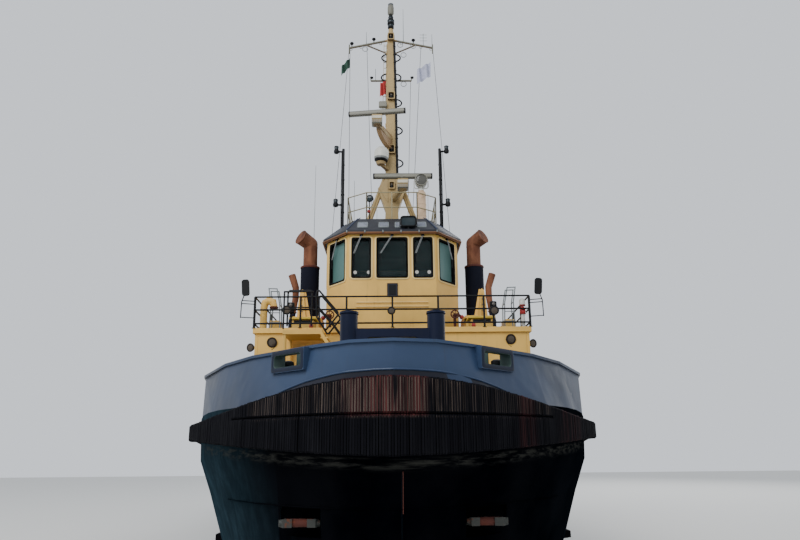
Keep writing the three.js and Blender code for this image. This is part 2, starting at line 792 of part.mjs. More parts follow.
// Railings: posts along a path, and rails between them
function railing(path, base, heights, spacing) {
  const pieces = [];
  for (let i = 0; i < path.length - 1; i++) {
    const [a, b] = [new THREE.Vector2(...path[i]), new THREE.Vector2(...path[i + 1])];
    const bays = Math.max(1, Math.round(a.distanceTo(b) / spacing));
    for (const height of heights) {
      pieces.push(rod([a.x, a.y, base + height], [b.x, b.y, base + height], RAIL, RAIL_SIDES));
    }
    const top = base + heights.at(-1) + RAIL;
    for (let j = i ? 1 : 0; j <= bays; j++) {
      const { x, y } = a.clone().lerp(b, j / bays);
      pieces.push(rod([x, y, base], [x, y, top], RAIL_POST, 8));
    }
  }
  return join(...pieces);
}

const RAIL_LINE = { half: BRIDGE.half - 20, front: BRIDGE.front + 20, aft: BRIDGE.aft - 20 };
const RAIL_BASE = BRIDGE.top + 60 + SEAM;
const RAIL_HEIGHTS = [130, 540, 930];

// The wheelhouse
function ringOutline(half) {
  const port = half.map(([x, y]) => [x, y]);
  return [...port, ...port.map(([x, y]) => [-x, y]).reverse()];
}

function grown(outline, distance) {
  const path = outline.map(([x, y]) => new THREE.Vector2(x, y));
  return path.map((point, i) => {
    const before = path.at(i - 1);
    const after = path[(i + 1) % path.length];
    const n0 = point.clone().sub(before).normalize();
    const n1 = after.clone().sub(point).normalize();
    const out0 = new THREE.Vector2(n0.y, -n0.x);
    const out1 = new THREE.Vector2(n1.y, -n1.x);
    const out = out0.clone().add(out1).normalize();
    const reach = distance / out.dot(out0);
    return [point.x + out.x * reach, point.y + out.y * reach];
  });
}

const WHEEL_RING = ringOutline(WHEEL_OUTLINE);

// Windows: the corner of the outline that a face starts from, how far its sill is lowered, and the shares
// of the face at which the panes start and end
const CORNERS = [[-1450, -5430], ...WHEEL_OUTLINE, [600, -600]];
const WINDOWS = [
  { face: 0, lowered: 0, panes: [[0.032, 0.262], [0.318, 0.682], [0.738, 0.968]] },
  { face: 1, lowered: 50, panes: [[0.12, 0.86]] },
  { face: 2, lowered: 50, panes: [[0.05, 0.32], [0.37, 0.63], [0.68, 0.95]] },
  { face: 3, lowered: 50, panes: [[0.15, 0.85]] },
  { face: 4, lowered: 50, panes: [[0.12, 0.9]] },
];

function windowHoles() {
  const holes = [];
  for (const { face, lowered, panes } of WINDOWS) {
    const [from, to] = [CORNERS[face], CORNERS[face + 1]];
    const sill = WHEEL.sill - lowered;
    const start = new THREE.Vector2(...from);
    const run = new THREE.Vector2(...to).sub(start);
    const turn = Math.atan2(run.y, run.x);
    for (const [s0, s1] of panes) {
      const middle = start.clone().addScaledVector(run, (s0 + s1) / 2);
      const hole = new THREE.BoxGeometry(run.length() * (s1 - s0), WALL * 3, WHEEL.head - sill)
        .rotateZ(turn)
        .translate(middle.x, middle.y, (WHEEL.head + sill) / 2);
      holes.push(hole);
      if (from[0] !== -to[0]) holes.push(mirrored(hole));
    }
  }
  return holes;
}

function wheelShell() {
  const base = BRIDGE.top + SEAM;
  const outer = slab(WHEEL_RING, base, WHEEL.top);
  const inner = slab(grown(WHEEL_RING, -WALL), base - 50, WHEEL.top + 50);
  const { wide, sill, high } = WHEEL_DOOR;
  const doorHole = block([-wide / 2, wide / 2], [-900, -300], [sill, sill + high]);
  return cut(outer, inner, ...windowHoles(), doorHole);
}

function wheelPanels() {
  const shell = wheelShell();
  const low = BRIDGE.top - 100;
  const high = WHEEL.top + 100;
  const frontEdge = WHEEL_OUTLINE[1][1];
  const aftEdge = WHEEL_OUTLINE[2][1];
  return {
    wheelhouse_front: common(shell, block([-3000, 3000], [-6000, frontEdge], [low, high])),
    wheelhouse_port: common(shell, block([0, 3000], [frontEdge + SEAM, aftEdge - SEAM], [low, high])),
    wheelhouse_starboard: common(shell, block([-3000, 0], [frontEdge + SEAM, aftEdge - SEAM], [low, high])),
    wheelhouse_aft: join(
      common(shell, block([-3000, 3000], [aftEdge, 0], [low, high])),
      doorLugs(DOORS[1].door).map((lug) => inShip(lug, DOORS[1])),
    ),
  };
}

function glazing() {
  const outer = grown(WHEEL_RING, -WALL - SEAM);
  const inner = grown(WHEEL_RING, -WALL - SEAM - 12);
  const [low, high] = [WHEEL.sill - 110, WHEEL.head + 60];
  return cut(slab(outer, low, high), slab(inner, low - 50, high + 50));
}

function wheelFloor() {
  const inside = slab(grown(WHEEL_RING, -WALL - SEAM), WHEEL.floor - 70, WHEEL.floor);
  return cut(inside, block([-2500, 2500], [-1900, 0], [WHEEL.floor - 200, WHEEL.floor + 100]));
}

function helmDesk() {
  const top = WHEEL.sill - 120;
  const low = WHEEL.floor - 10;
  const outline = [
    [-5180, low],
    [-4500, low],
    [-4400, top - 250],
    [-4800, top],
    [-5180, top],
  ];
  const desk = sideplate(outline, -1150, 1150);
  const binnacle = block([-260, 260], [-4600, -4200], [low, top - 150]);
  return join(desk, binnacle);
}

function helmChair() {
  const z = WHEEL.floor - 10;
  const y = -3400;
  const back = [
    [y + 200, z + 500],
    [y + 300, z + 500],
    [y + 380, z + 1250],
    [y + 290, z + 1250],
  ];
  return join(
    rod([0, y, z], [0, y, z + 40], 280, 12),
    rod([0, y, z], [0, y, z + 500], 60, 10),
    block([-270, 270], [y - 260, y + 260], [z + 450, z + 580]),
    sideplate(back, -240, 240),
    block([-340, -270], [y - 150, y + 230], [z + 700, z + 750]),
    block([270, 340], [y - 150, y + 230], [z + 700, z + 750]),
    block([-340, -270], [y + 180, y + 240], [z + 500, z + 750]),
    block([270, 340], [y + 180, y + 240], [z + 500, z + 750]),
    block([-340, 340], [y + 180, y + 240], [z + 480, z + 540]),
  );
}

function wheelRoof() {
  const eave = grown(WHEEL_RING, WHEEL.eave);
  const ring = (outline, z) => outline.map(([x, y]) => new THREE.Vector3(x, y, z));
  const top = ringOutline(ROOF_OUTLINE);
  return loft([ring(eave, WHEEL.top + SEAM), ring(eave, WHEEL.top + 110), ring(top, ROOF_TOP)]);
}

// Exhausts: a painted lower pipe on a casing, and a bare upper pipe with a mitred elbow, turned outboard and
// forward, that is open at its mouth
function exhaustCasing() {
  const { x, y, base } = STACK;
  const z = BRIDGE.top - 10;
  const outline = [
    [y - 1500, z],
    [y + 900, z],
    [y + 500, base],
    [y - 420, base],
    [y - 420, base - 170],
    [y - 1500, base - 260],
  ];
  return sideplate(outline, x - 500, x + 360);
}

const ELBOW = { aim: [0.69, -0.6, 0.4], length: 480, flare: 20, wall: 14, sides: 20 };

function exhaustPipe() {
  const { x, y, base, joint, bend, lower, upper } = STACK;
  const { aim, length, flare, wall, sides } = ELBOW;
  const mouth = [x + aim[0] * length, y + aim[1] * length, bend + aim[2] * length];
  const beyond = [x + aim[0] * length * 1.2, y + aim[1] * length * 1.2, bend + aim[2] * length * 1.2];
  const knee = new THREE.SphereGeometry(upper, sides, 12).rotateX(Math.PI / 2).translate(x, y, bend);
  const solid = join(
    rod([x, y, base + SEAM], [x, y, joint], lower, 24),
    rod([x, y, joint - 60], [x, y, bend], upper, sides),
    knee,
    rod([x, y, bend], mouth, upper, sides, upper + flare),
  );
  const hollow = join(
    rod([x, y, bend], beyond, upper - wall, sides, upper + flare * 1.2 - wall),
    rod([x, y, bend - 700], [x, y, bend], upper - wall, sides),
  );
  return cut(solid, hollow);
}

// Side mirrors on brackets from the bridge rail
function mirror() {
  const x = BRIDGE.half - 20;
  const y = BRIDGE.front + 20 - RAIL_POST - SEAM - 20;
  const glass = block([x + 130, x + 350], [y - 150, y - 60], [RAIL_BASE + 930, RAIL_BASE + 1420]);
  const arm = rod([x + 240, y - 80, RAIL_BASE + 120], [x + 240, y - 80, RAIL_BASE + 1000], 20, 6);
  const braces = [300, 700].map((h) => rod([x, y, RAIL_BASE + h], [x + 240, y - 80, RAIL_BASE + h], 20, 6));
  const clip = block([x - 25, x + 25], [y - 20, y + 20], [RAIL_BASE + 250, RAIL_BASE + 750]);
  return join(glass, arm, ...braces, clip);
}

// The raft's canister lies on a cradle on the bridge deck
function raft() {
  const z = BRIDGE.top + SEAM;
  const x = 3350;
  const y = 1300;
  const profile = [
    [0, -650],
    [260, -650],
    [320, -560],
    [330, 0],
    [320, 560],
    [260, 650],
    [0, 650],
  ];
  const shell = turned(profile, [0, 0, 0], 16)
    .rotateX(Math.PI / 2)
    .translate(x, y, z + 520);
  const foot = [
    [x - 320, z],
    [x + 320, z],
    [x + 220, z + 320],
    [x - 220, z + 320],
  ];
  const feet = [-350, 350].map((dy) => frontplate(foot, y + dy - 40, y + dy + 40));
  const bed = block([x - 330, x + 330], [y - 450, y + 450], [z, z + 50]);
  return join(shell, ...feet, bed);
}

function ventHouse() {
  const z = BRIDGE.top - 10;
  const outline = [
    [300, z],
    [2500, z],
    [2500, z + 1500],
    [2200, z + 1800],
    [300, z + 1800],
  ];
  return sideplate(outline, -1250, 1250);
}

// Lamp poles stand on the roof's slope
function pole(roof) {
  const x = 1830;
  const y = -3250;
  const reach = 265;
  const arms = [11880, 14030].map((z) => [
    rod([x, y, z - 80], [x + reach, y, z - 80], 40, 6),
    rod([x + reach, y, z - 130], [x + reach, y, z + 130], 85, 10),
  ]);
  const post = rod([x, y, 10300], [x, y, 14060], 55, 10);
  const lifted = roof.clone().translate(0, 0, SEAM);
  return cut(join(post, ...arms.flat()), lifted);
}

// The mast: a flared foot, a box column, yards, and brackets for what it carries
const RADARS = [
  { name: "upper", x: -545, y: -3560, z: 15080, arm: 14850, turn: -0.14 },
  { name: "lower", x: 410, y: -3650, z: 12420, arm: 12350, turn: 0 },
];
const SCANNER = { length: 2200, high: 160, deep: 180, stem: 90 };
const DOME = { x: -415, y: -2740, z: 13740, radius: 285, arm: 13560 };

// The column: columns are half-breadth, half-depth and height
const COLUMN = [
  [300, 300, ROOF_TOP + SEAM],
  [240, 240, 11900],
  [540, 240, 12780],
  [245, 245, 13150],
  [225, 225, 15360],
  [190, 190, 17800],
  [150, 150, MAST.top],
];

// An arm that bends down from what it carries to the column, and thickens toward it
function mastArm([x, y, z], foot, radius) {
  const places = [0, 0.4, 0.75, 1].map((s) => {
    const fall = s ** 0.7;
    return [x * (1 - s), THREE.MathUtils.lerp(y, MAST.y, s), THREE.MathUtils.lerp(z, foot, fall)];
  });
  return places.slice(1).map((place, i) => rod(places[i], place, radius + i * 15, 8, radius + i * 15 + 15));
}

function mastRing(halfX, halfY, z) {
  return [
    [halfX, MAST.y - halfY],
    [halfX, MAST.y + halfY],
    [-halfX, MAST.y + halfY],
    [-halfX, MAST.y - halfY],
  ].map(([x, y]) => new THREE.Vector3(x, y, z));
}

function mast() {
  const foot = ROOF_TOP + SEAM;
  const column = loft(COLUMN.map(([halfX, halfY, z]) => mastRing(halfX, halfY, z)));
  const { y, yard, yardTip, lowYard, top } = MAST;
  const sides = [-1, 1].flatMap((side) => [
    rod([side * 300, y, 13000], [side * 1130, y + 200, foot + 60], 60, 8),
    block([side * 1130 - 100, side * 1130 + 100], [y + 100, y + 300], [foot, foot + 80]),
    rod([0, y, yard], [side * 1730, y, yardTip], 45, 8),
    rod([side * 1050, y, yard - 230], [0, y, yard - 720], 32, 6),
    rod([side * 1730, y, yardTip - 260], [side * 1730, y, yardTip + 160], 28, 6),
  ]);
  const lower = rod([-830, y, lowYard], [830, y, lowYard], 40, 8);
  // Lamps on the pole above the column: columns are the lower height, the upper height and the radius
  const lamps = [
    [-100, 1250, 45],
    [120, 330, 105],
    [450, 720, 125],
    [860, 960, 100],
    [1150, 1560, 120],
  ].map(([low, high, radius]) => rod([0, y, top + low], [0, y, top + high], radius, 10));
  const brackets = RADARS.flatMap((radar) => [
    ...mastArm([radar.x, radar.y, radar.z - 120], radar.arm, 100),
    rod([radar.x, radar.y, radar.z - 190], [radar.x, radar.y, radar.z - 100], 150, 10),
    block([radar.x - 190, radar.x + 190], [radar.y - 200, radar.y + 200], [radar.z - 110, radar.z + 180]),
  ]);
  const shelf = [
    ...mastArm([DOME.x, DOME.y, DOME.z - 85], DOME.arm, 70),
    rod([DOME.x, DOME.y, DOME.z - 110], [DOME.x, DOME.y, DOME.z], 160, 12, 200),
  ];
  return join(column, ...sides, lower, ...lamps, ...brackets, ...shelf);
}

function scanner({ x, y, z, turn }) {
  const seat = z + 180 + SWIVEL;
  const bar = new THREE.BoxGeometry(SCANNER.length, SCANNER.deep, SCANNER.high).rotateZ(turn);
  return join(
    rod([x, y, seat], [x, y, seat + 120], SCANNER.stem, 12),
    bar.translate(x, y, seat + 100 + SCANNER.high / 2),
  );
}

function dome() {
  const { x, y, z, radius } = DOME;
  const profile = [
    [0, 0],
    [radius * 0.75, 0],
    [radius, 130],
    [radius, 360],
    [radius * 0.85, 520],
    [radius * 0.5, 620],
    [0, 660],
  ];
  return turned(profile, [x, y, z + SEAM], 20);
}

// The searchlight turns on a fixed pedestal
const SEARCH = { x: 1072, y: -3950, z: 12430, radius: 233, seat: 12060, post: 150 };

function searchPedestal() {
  const { x, y, seat, post } = SEARCH;
  const foot = ROOF_TOP + SEAM;
  return join(
    rod([x, y, foot], [x, y, foot + 40], post + 50, 12),
    rod([x, y, foot], [x, y, seat - 60], post, 12),
    rod([x, y, seat - 70], [x, y, seat], 110, 10),
  );
}

function searchLight() {
  const { x, y, z, radius, seat } = SEARCH;
  const ears = [-1, 1].map((side) => [x + side * (radius + 25) - 12, x + side * (radius + 25) + 12]);
  return join(
    rod([x, y, seat + SWIVEL], [x, y, seat + 90], 110, 10),
    block([x - radius - 37, x + radius + 37], [y - 60, y + 60], [seat + 80, seat + 110]),
    ...ears.map((span) => block(span, [y - 60, y + 60], [seat + 90, z + 60])),
    rod([x - radius - 30, y, z], [x + radius + 30, y, z], 30, 8),
    rod([x, y - 230, z], [x, y + 170, z], radius, 20),
    rod([x, y + 170, z], [x, y + 290, z], radius, 20, 120),
  );
}

// Steerable drives: a leg under the hull, a gear pod, and a tube round the screw
function driveLeg(x) {
  const { y, seat, shaft, tube, length } = DRIVE;
  const outer = tube + 130;
  const section = [
    [tube + 20, -length / 2],
    [outer, -length / 2 + 150],
    [outer - 40, length / 2],
    [tube, length / 2],
    [tube, -length / 2 + 250],
    [tube + 20, -length / 2],
  ];
  const ring = turned(section, [0, 0, 0], 24)
    .rotateX(Math.PI / 2)
    .translate(x, y - 100, shaft);
  const disc = rod([x, y, seat - SWIVEL], [x, y, seat - 160], 850, 24);
  const foil = [
    [0, -330],
    [150, -130],
    [130, 150],
    [0, 330],
    [-130, 150],
    [-150, -130],
  ];
  const strut = loft(
    [seat - 100, shaft + 150].map((z) =>
      foil.map(([dx, dy]) => new THREE.Vector3(x + dx, y + dy + 500, z)),
    ),
  );
  const podProfile = [
    [0, -420],
    [230, -420],
    [290, -250],
    [290, 250],
    [170, 600],
    [0, 700],
  ];
  const pod = turned(podProfile, [0, 0, 0], 16)
    .rotateX(-Math.PI / 2)
    .translate(x, y + 500, shaft);
  const stays = [0.25, 0.75, 1.25, 1.75].map((share) => {
    const a = Math.PI * share;
    const place = (r) => [x + r * Math.cos(a), y + 260, shaft + r * Math.sin(a)];
    return rod(place(150), place(tube + 60), 45, 6);
  });
  return join(ring, disc, strut, pod, ...stays);
}

function screw(x) {
  const { y, shaft, tube } = DRIVE;
  const hub = rod([x, y - 350, shaft], [x, y + 80 - SWIVEL, shaft], 190, 16);
  const blades = Array.from({ length: 4 }, (_, i) => {
    const blade = new THREE.BoxGeometry(420, 60, tube - 140);
    return blade
      .rotateZ(0.5)
      .translate(0, 0, 60 + (tube - 140) / 2)
      .rotateY((i * Math.PI) / 2)
      .translate(x, y - 140, shaft);
  });
  return join(hub, ...blades);
}

// The assembly
const tug = new THREE.Group();

function add(name, finish, geometry) {
  const [color, roughness, metalness] = FINISHES[finish];
  const clean = geometryOf(solidOf(geometry));
  const mesh = new THREE.Mesh(clean, new THREE.MeshStandardMaterial({ color, roughness, metalness }));
  mesh.name = name;
  tug.add(mesh);
}

function addPair(name, finish, geometry) {
  add(`${name}_port`, finish, geometry);
  add(`${name}_starboard`, finish, mirrored(geometry));
}

add("hull", "hull", HULL);
add("skeg", "hull", skeg());
add("bulwark_bow", "bulwark", bowBulwark());
addPair("bulwark", "bulwark", sideBulwark());
add("bulwark_stern", "bulwark", sternBulwark());
add("fender_bow", "rubber", bowFender());
addPair("fender", "rubber", sideBelt());
add("fender_stern", "rubber", sternFender());
addPair("strake", "rubber", cut(sideStrake(), HULL.clone().translate(SEAM, 0, 0)));
add("tow_bitt", "navy", towBitt());
for (const side of [1, -1]) {
  add(side > 0 ? "anchor_port" : "anchor_starboard", "grey", anchor(side));
}
for (const winch of WINCHES) {
  add(`${winch.name}_frame`, "navy", winchFrame(winch));
  add(`${winch.name}_drum`, "steel", winchDrum(winch));
}
add("hatch_lid", "grey", hatchLid());
add("aft_bitt", "navy", aftBitt());
add("deckhouse_front", "cream", houseEnd(HOUSE.front));
const portWall = join(
  houseSide(),
  doorLugs(HOUSE_DOOR).map((lug) => inShip(lug, DOORS[0])),
);
addPair("deckhouse", "cream", portWall);
add("deckhouse_aft", "cream", houseEnd(HOUSE.aft - WALL));
add("bridge_deck", "cream", bridgeDeck());
add("fore_stair", "cream", foreStair());
const houseDoor = inShip(doorLeaf(HOUSE_DOOR), DOORS[0]);
addPair("door", "cream", houseDoor);
for (const [name, panel] of Object.entries(wheelPanels())) add(name, "cream", panel);
add("wheelhouse_door", "cream", inShip(doorLeaf(DOORS[1].door), DOORS[1]));
add("helm_station", "grey", join(wheelFloor(), helmDesk(), helmChair()));
add("wheelhouse_glass", "glass", glazing());
const roof = wheelRoof();
add("wheelhouse_roof", "roof", roof);
addPair("exhaust", "rust", exhaustPipe());
const { half, front, aft } = RAIL_LINE;
const acrossFront = [
  [-half, front],
  [half, front],
];
const downSide = [
  [half, front + 2 * RAIL_POST + SEAM],
  [half, aft],
  [half - 1400, aft],
];
add("bridge_rail_front", "black", railing(acrossFront, RAIL_BASE, RAIL_HEIGHTS, 1360));
addPair("bridge_rail", "black", railing(downSide, RAIL_BASE, RAIL_HEIGHTS, 1400));
const roofPath = ringOutline([
  [895, -4380],
  [1590, -3850],
  [1590, -1300],
  [1100, -1050],
]);
const openAft = [...roofPath.slice(4), ...roofPath.slice(0, 4)].slice(1, 7);
add("roof_rail", "cream", railing(openAft, ROOF_TOP + SEAM, [560, 1120], 900));
addPair("mirror", "black", mirror());
addPair("raft", "white", raft());
addPair("pole", "black", pole(roof));
add("mast", "mast", mast());
for (const radar of RADARS) add(`scanner_${radar.name}`, "mast", scanner(radar));
add("satellite_dome", "white", dome());
add("searchlight_pedestal", "white", searchPedestal());
add("searchlight", "white", searchLight());
for (const side of [1, -1]) {
  const label = side > 0 ? "port" : "starboard";
  add(`drive_${label}`, "hull", driveLeg(side * DRIVE.x));
  add(`screw_${label}`, "bronze", screw(side * DRIVE.x));
}

export default tug;
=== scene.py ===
# %% [markdown]
# A harbour tug is seen from just ahead of the bow. The hull, walls, doors, winches and mast come as a
# fixed frame in metres: the bow points to -Y, port is +X, and the waterline is at z = 0.
# This lesson dresses that frame: paint that streaks, rubber that is laid up in strips, window seals,
# lamps, wires and flags.

# %% Load the frame
import math
import random

import bmesh
import bpy
from mathutils import Matrix, Vector


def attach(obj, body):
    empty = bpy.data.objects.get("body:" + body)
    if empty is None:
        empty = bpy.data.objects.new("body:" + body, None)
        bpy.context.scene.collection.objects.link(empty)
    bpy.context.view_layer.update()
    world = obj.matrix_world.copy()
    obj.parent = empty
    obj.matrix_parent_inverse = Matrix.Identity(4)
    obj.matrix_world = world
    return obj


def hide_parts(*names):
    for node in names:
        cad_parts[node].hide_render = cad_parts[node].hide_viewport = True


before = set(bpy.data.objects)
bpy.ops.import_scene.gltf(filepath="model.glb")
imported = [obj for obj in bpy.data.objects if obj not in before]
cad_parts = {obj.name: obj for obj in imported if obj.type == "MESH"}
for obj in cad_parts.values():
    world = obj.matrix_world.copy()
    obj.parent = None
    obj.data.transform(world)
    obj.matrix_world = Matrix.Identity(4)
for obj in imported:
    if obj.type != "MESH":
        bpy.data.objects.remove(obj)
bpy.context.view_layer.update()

# %% [markdown]
# The picture is taken from three metres above the waterline, twelve metres ahead of the stem, and the
# camera is tilted up until the mast's top comes in. The lens is given in millimetres on a frame 36 mm wide,
# so the picture's width of 800 pixels is 36 mm.

# %% Camera
FOCAL_PX, WIDTH_PX, SENSOR_MM = 670, 800, 36
LOOK_UP, TURN, ROLL = math.radians(14.96), math.radians(-0.69), math.radians(-0.5)
camera_data = bpy.data.cameras.new("camera")
camera_data.lens = FOCAL_PX * SENSOR_MM / WIDTH_PX
camera = bpy.data.objects.new("camera", camera_data)
bpy.context.scene.collection.objects.link(camera)
camera.location = (0.0, -26.75, 3.0)
turned = Matrix.Rotation(TURN, 3, "Z") @ Matrix.Rotation(math.pi / 2 + LOOK_UP, 3, "X")
camera.rotation_euler = (turned @ Matrix.Rotation(ROLL, 3, "Z")).to_euler()
bpy.context.scene.camera = camera
print("camera", tuple(camera.location), "lens", round(camera_data.lens, 2))

# %% [markdown]
# The light in the photograph is soft and comes from all over. A pale world gives that, and two large
# lamps give the little direction that shapes the plates. The floor is a plain pale sheet at the
# waterline, and the hull goes down through it.

# %% Floor and light
HALF_FLOOR = 60.0
mesh = bpy.data.meshes.new("floor")
edge = [(x * HALF_FLOOR, y * HALF_FLOOR, 0) for x, y in ((-1, -1), (1, -1), (1, 1), (-1, 1))]
mesh.from_pydata(edge, [], [(0, 1, 2, 3)])
floor = bpy.data.objects.new("floor", mesh)
bpy.context.scene.collection.objects.link(floor)


def soft_lamp(name, place, aim, size, power):
    data = bpy.data.lights.new(name, "AREA")
    data.size = size
    data.energy = power
    lamp = bpy.data.objects.new(name, data)
    lamp.location = place
    lamp.rotation_euler = (Vector(aim) - Vector(place)).to_track_quat("-Z", "Y").to_euler()
    bpy.context.scene.collection.objects.link(lamp)


world = bpy.data.worlds.new("overcast")
bpy.context.scene.world = world
world.use_nodes = True
sky = world.node_tree.nodes["Background"].inputs
sky["Color"].default_value = (0.80, 0.84, 0.90, 1)
sky["Strength"].default_value = 1.1
soft_lamp("sky_ahead", (-14, -30, 30), (0, -6, 5), 22, 9000)
soft_lamp("sky_astern", (24, 26, 26), (0, 4, 5), 26, 6500)

# %% [markdown]
# Shader maths reads best as plain sums. Tone holds one number that varies over a surface, and its
# operators add the Math nodes.


# %% Tones
class Tone:
    def __init__(self, finish, socket):
        self.finish = finish
        self.socket = socket

    def maths(self, operation, *others, clamp=False):
        settings = {"operation": operation, "use_clamp": clamp}
        values = dict(enumerate((self, *others)))
        return Tone(self.finish, self.finish.add("ShaderNodeMath", settings, values).outputs[0])

    def __add__(self, other):
        return self.maths("ADD", other)

    __radd__ = __add__

    def __sub__(self, other):
        return self.maths("SUBTRACT", other)

    def __rsub__(self, other):
        return (self * -1.0) + other

    def __mul__(self, other):
        return self.maths("MULTIPLY", other)

    __rmul__ = __mul__

    def __pow__(self, other):
        return self.maths("POWER", other)

    def step(self, low, high):
        """0 below low, 1 above high, and a smooth rise between them."""
        ends = {"From Min": low, "From Max": high, "Value": self}
        node = self.finish.add("ShaderNodeMapRange", {"interpolation_type": "SMOOTHSTEP"}, ends)
        return Tone(self.finish, node.outputs["Result"])

    def clamped(self):
        return self.maths("ADD", 0.0, clamp=True)

    def most(self, other):
        return self.maths("MAXIMUM", other)


def methods(kind):
    return [name for name in vars(kind) if not name.startswith("_")]


print("a tone's methods", methods(Tone))


# %% Colours
def linear(red, green, blue):
    """A colour as it is read off a screen, from 0 to 255, as the shader's own light values."""
    shares = [c / 255 for c in (red, green, blue)]
    return tuple(c / 12.92 if c <= 0.04045 else ((c + 0.055) / 1.055) ** 2.4 for c in shares)


def shade(color, times, plus=0.0):
    """A lighter or darker version of a colour."""
    return tuple(c * times + plus for c in color)


print("a colour of the plates", [round(c, 3) for c in linear(70, 85, 115)])

# %% [markdown]
# Finish holds one material, and its add method is the only place where a node is made. The floor is
# the first to wear one: a plain pale grey.


# %% Finishes
class Finish:
    def __init__(self, name, color=(0.8, 0.8, 0.8), roughness=0.5, metallic=0.0, **constants):
        self.material = bpy.data.materials.new(name)
        self.material.use_nodes = True
        self.tree = self.material.node_tree
        self.shader = self.tree.nodes["Principled BSDF"]
        self.set("Base Color", color)
        self.set("Roughness", roughness)
        self.set("Metallic", metallic)
        for socket, value in constants.items():
            self.set(socket.replace("_", " "), value)

    def link(self, socket, value):
        if isinstance(value, Tone):
            value = value.socket
        if isinstance(value, bpy.types.NodeSocket):
            self.tree.links.new(value, socket)
        elif socket.type == "RGBA":
            socket.default_value = (*value[:3], 1.0)
        else:
            socket.default_value = value

    def set(self, name, value):
        self.link(self.shader.inputs[name], value)

    def add(self, kind, settings=None, sockets=None):
        node = self.tree.nodes.new(kind)
        for name, value in (settings or {}).items():
            setattr(node, name, value)
        for name, value in (sockets or {}).items():
            self.link(node.inputs[name], value)
        return node

    def place(self, scale=(1, 1, 1)):
        """Where a point is in the ship's own metres, stretched."""
        if not hasattr(self, "coordinates"):
            self.coordinates = self.add("ShaderNodeTexCoord").outputs["Object"]
        settings = {"operation": "MULTIPLY"}
        return self.add("ShaderNodeVectorMath", settings, {0: self.coordinates, 1: scale}).outputs[0]

    def axis(self, letter):
        if not hasattr(self, "axes"):
            self.axes = self.add("ShaderNodeSeparateXYZ", None, {0: self.place()})
        return Tone(self, self.axes.outputs[letter])

    def facing(self, letter):
        """How far the surface faces along an axis, from -1 to 1."""
        if not hasattr(self, "normals"):
            normal = self.add("ShaderNodeNewGeometry").outputs["Normal"]
            self.normals = self.add("ShaderNodeSeparateXYZ", None, {0: normal})
        return Tone(self, self.normals.outputs[letter])

    def noise(self, size, detail=4.0, rough=0.55, stretch=(1, 1, 1)):
        """Clouds about size metres across."""
        scale = tuple(1 / (size * s) for s in stretch)
        sockets = {"Vector": self.place(scale), "Scale": 1.0, "Detail": detail, "Roughness": rough}
        return Tone(self, self.add("ShaderNodeTexNoise", None, sockets).outputs[0])

    def island(self):
        return Tone(self, self.add("ShaderNodeNewGeometry").outputs["Random Per Island"])

    def mix(self, under, over, share):
        """One colour over another, by a tone."""
        sockets = {"Factor": share, 6: under, 7: over}
        return self.add("ShaderNodeMix", {"data_type": "RGBA"}, sockets).outputs[2]

    def bump(self, height, depth):
        """Relief, where a tone of 1 stands depth metres proud."""
        sockets = {"Strength": 1.0, "Distance": depth, "Height": height}
        self.set("Normal", self.add("ShaderNodeBump", None, sockets).outputs["Normal"])


FLOOR_PALE = Finish("floor_pale", (0.62, 0.62, 0.60), 0.8)
floor.data.materials.append(FLOOR_PALE.material)
print("a finish's methods", methods(Finish))

# %% [markdown]
# Ship's paint is laid over welded plates and lives outdoors. It fades in clouds, rain draws grey and
# rust down it from each edge, ropes and fenders rub it pale, and it chips to rust. One recipe with
# those four shares serves every painted part.

# %% Recipe of the paint
RUST = linear(112, 58, 34)
GRIME = linear(58, 50, 42)


def paint(name, color, roughness=0.45, rust=0.3, streaks=0.4, scuffs=0.2, relief=0.004,
          fade=0.12, shine=0.35, patches=()):
    """Weathered paint. Each patch is a function that gives a mask and the colour which it lets in."""
    finish = Finish(name, color, roughness, Specular_IOR_Level=shine)
    clouds = finish.noise(1.6, 5.0).step(0.3, 0.7)
    tone = finish.mix(shade(color, 1 - 1.4 * fade), shade(color, 1 + fade, 0.02 * fade), clouds)
    for patch in patches:
        where, other = patch(finish)
        tone = finish.mix(tone, other, where)
    drips = finish.noise(0.09, 4.0, 0.6, (1, 1, 16)).step(0.52, 0.78)
    wear_and_sheen = finish.noise(1.1, 3.0).step(0.45, 0.7)
    upright = 1.0 - finish.facing("Z").maths("ABSOLUTE").step(0.5, 0.9)
    tone = finish.mix(tone, GRIME, drips * wear_and_sheen * upright * (0.55 * streaks))
    rusty = finish.noise(0.35, 6.0, 0.7, (1, 1, 5)).step(0.60, 0.74)
    specks = finish.noise(0.05, 5.0, 0.65).step(0.66 - 0.05 * rust, 0.74 - 0.05 * rust)
    rust_mask = (rusty * wear_and_sheen * 0.75 + specks * rusty.most(0.25)) * rust
    tone = finish.mix(tone, RUST, rust_mask.clamped())
    rubs = finish.noise(0.5, 6.0, 0.7, (3, 1, 0.6)).step(0.62, 0.8)
    tone = finish.mix(tone, shade(color, 1.5, 0.05), rubs * scuffs)
    finish.set("Base Color", tone)
    finish.set("Roughness", (rust_mask * 0.4 + clouds * 0.12 + (roughness - 0.06)).clamped())
    grain = finish.noise(0.02, 2.0) * 0.02
    finish.bump(finish.noise(0.9, 2.0) + grain + rust_mask * 0.15, relief)
    return finish


print("rust", [round(c, 3) for c in RUST], "grime", [round(c, 3) for c in GRIME])

# %% [markdown]
# Some paint differs from place to place on one node, and on some nodes light and shade are painted in. A
# patch is a small function that gives a mask and the colour which it lets in. The mask is made from where a
# point is and from which way it faces.

# %% Patches
YARD_GREY = linear(98, 98, 84)


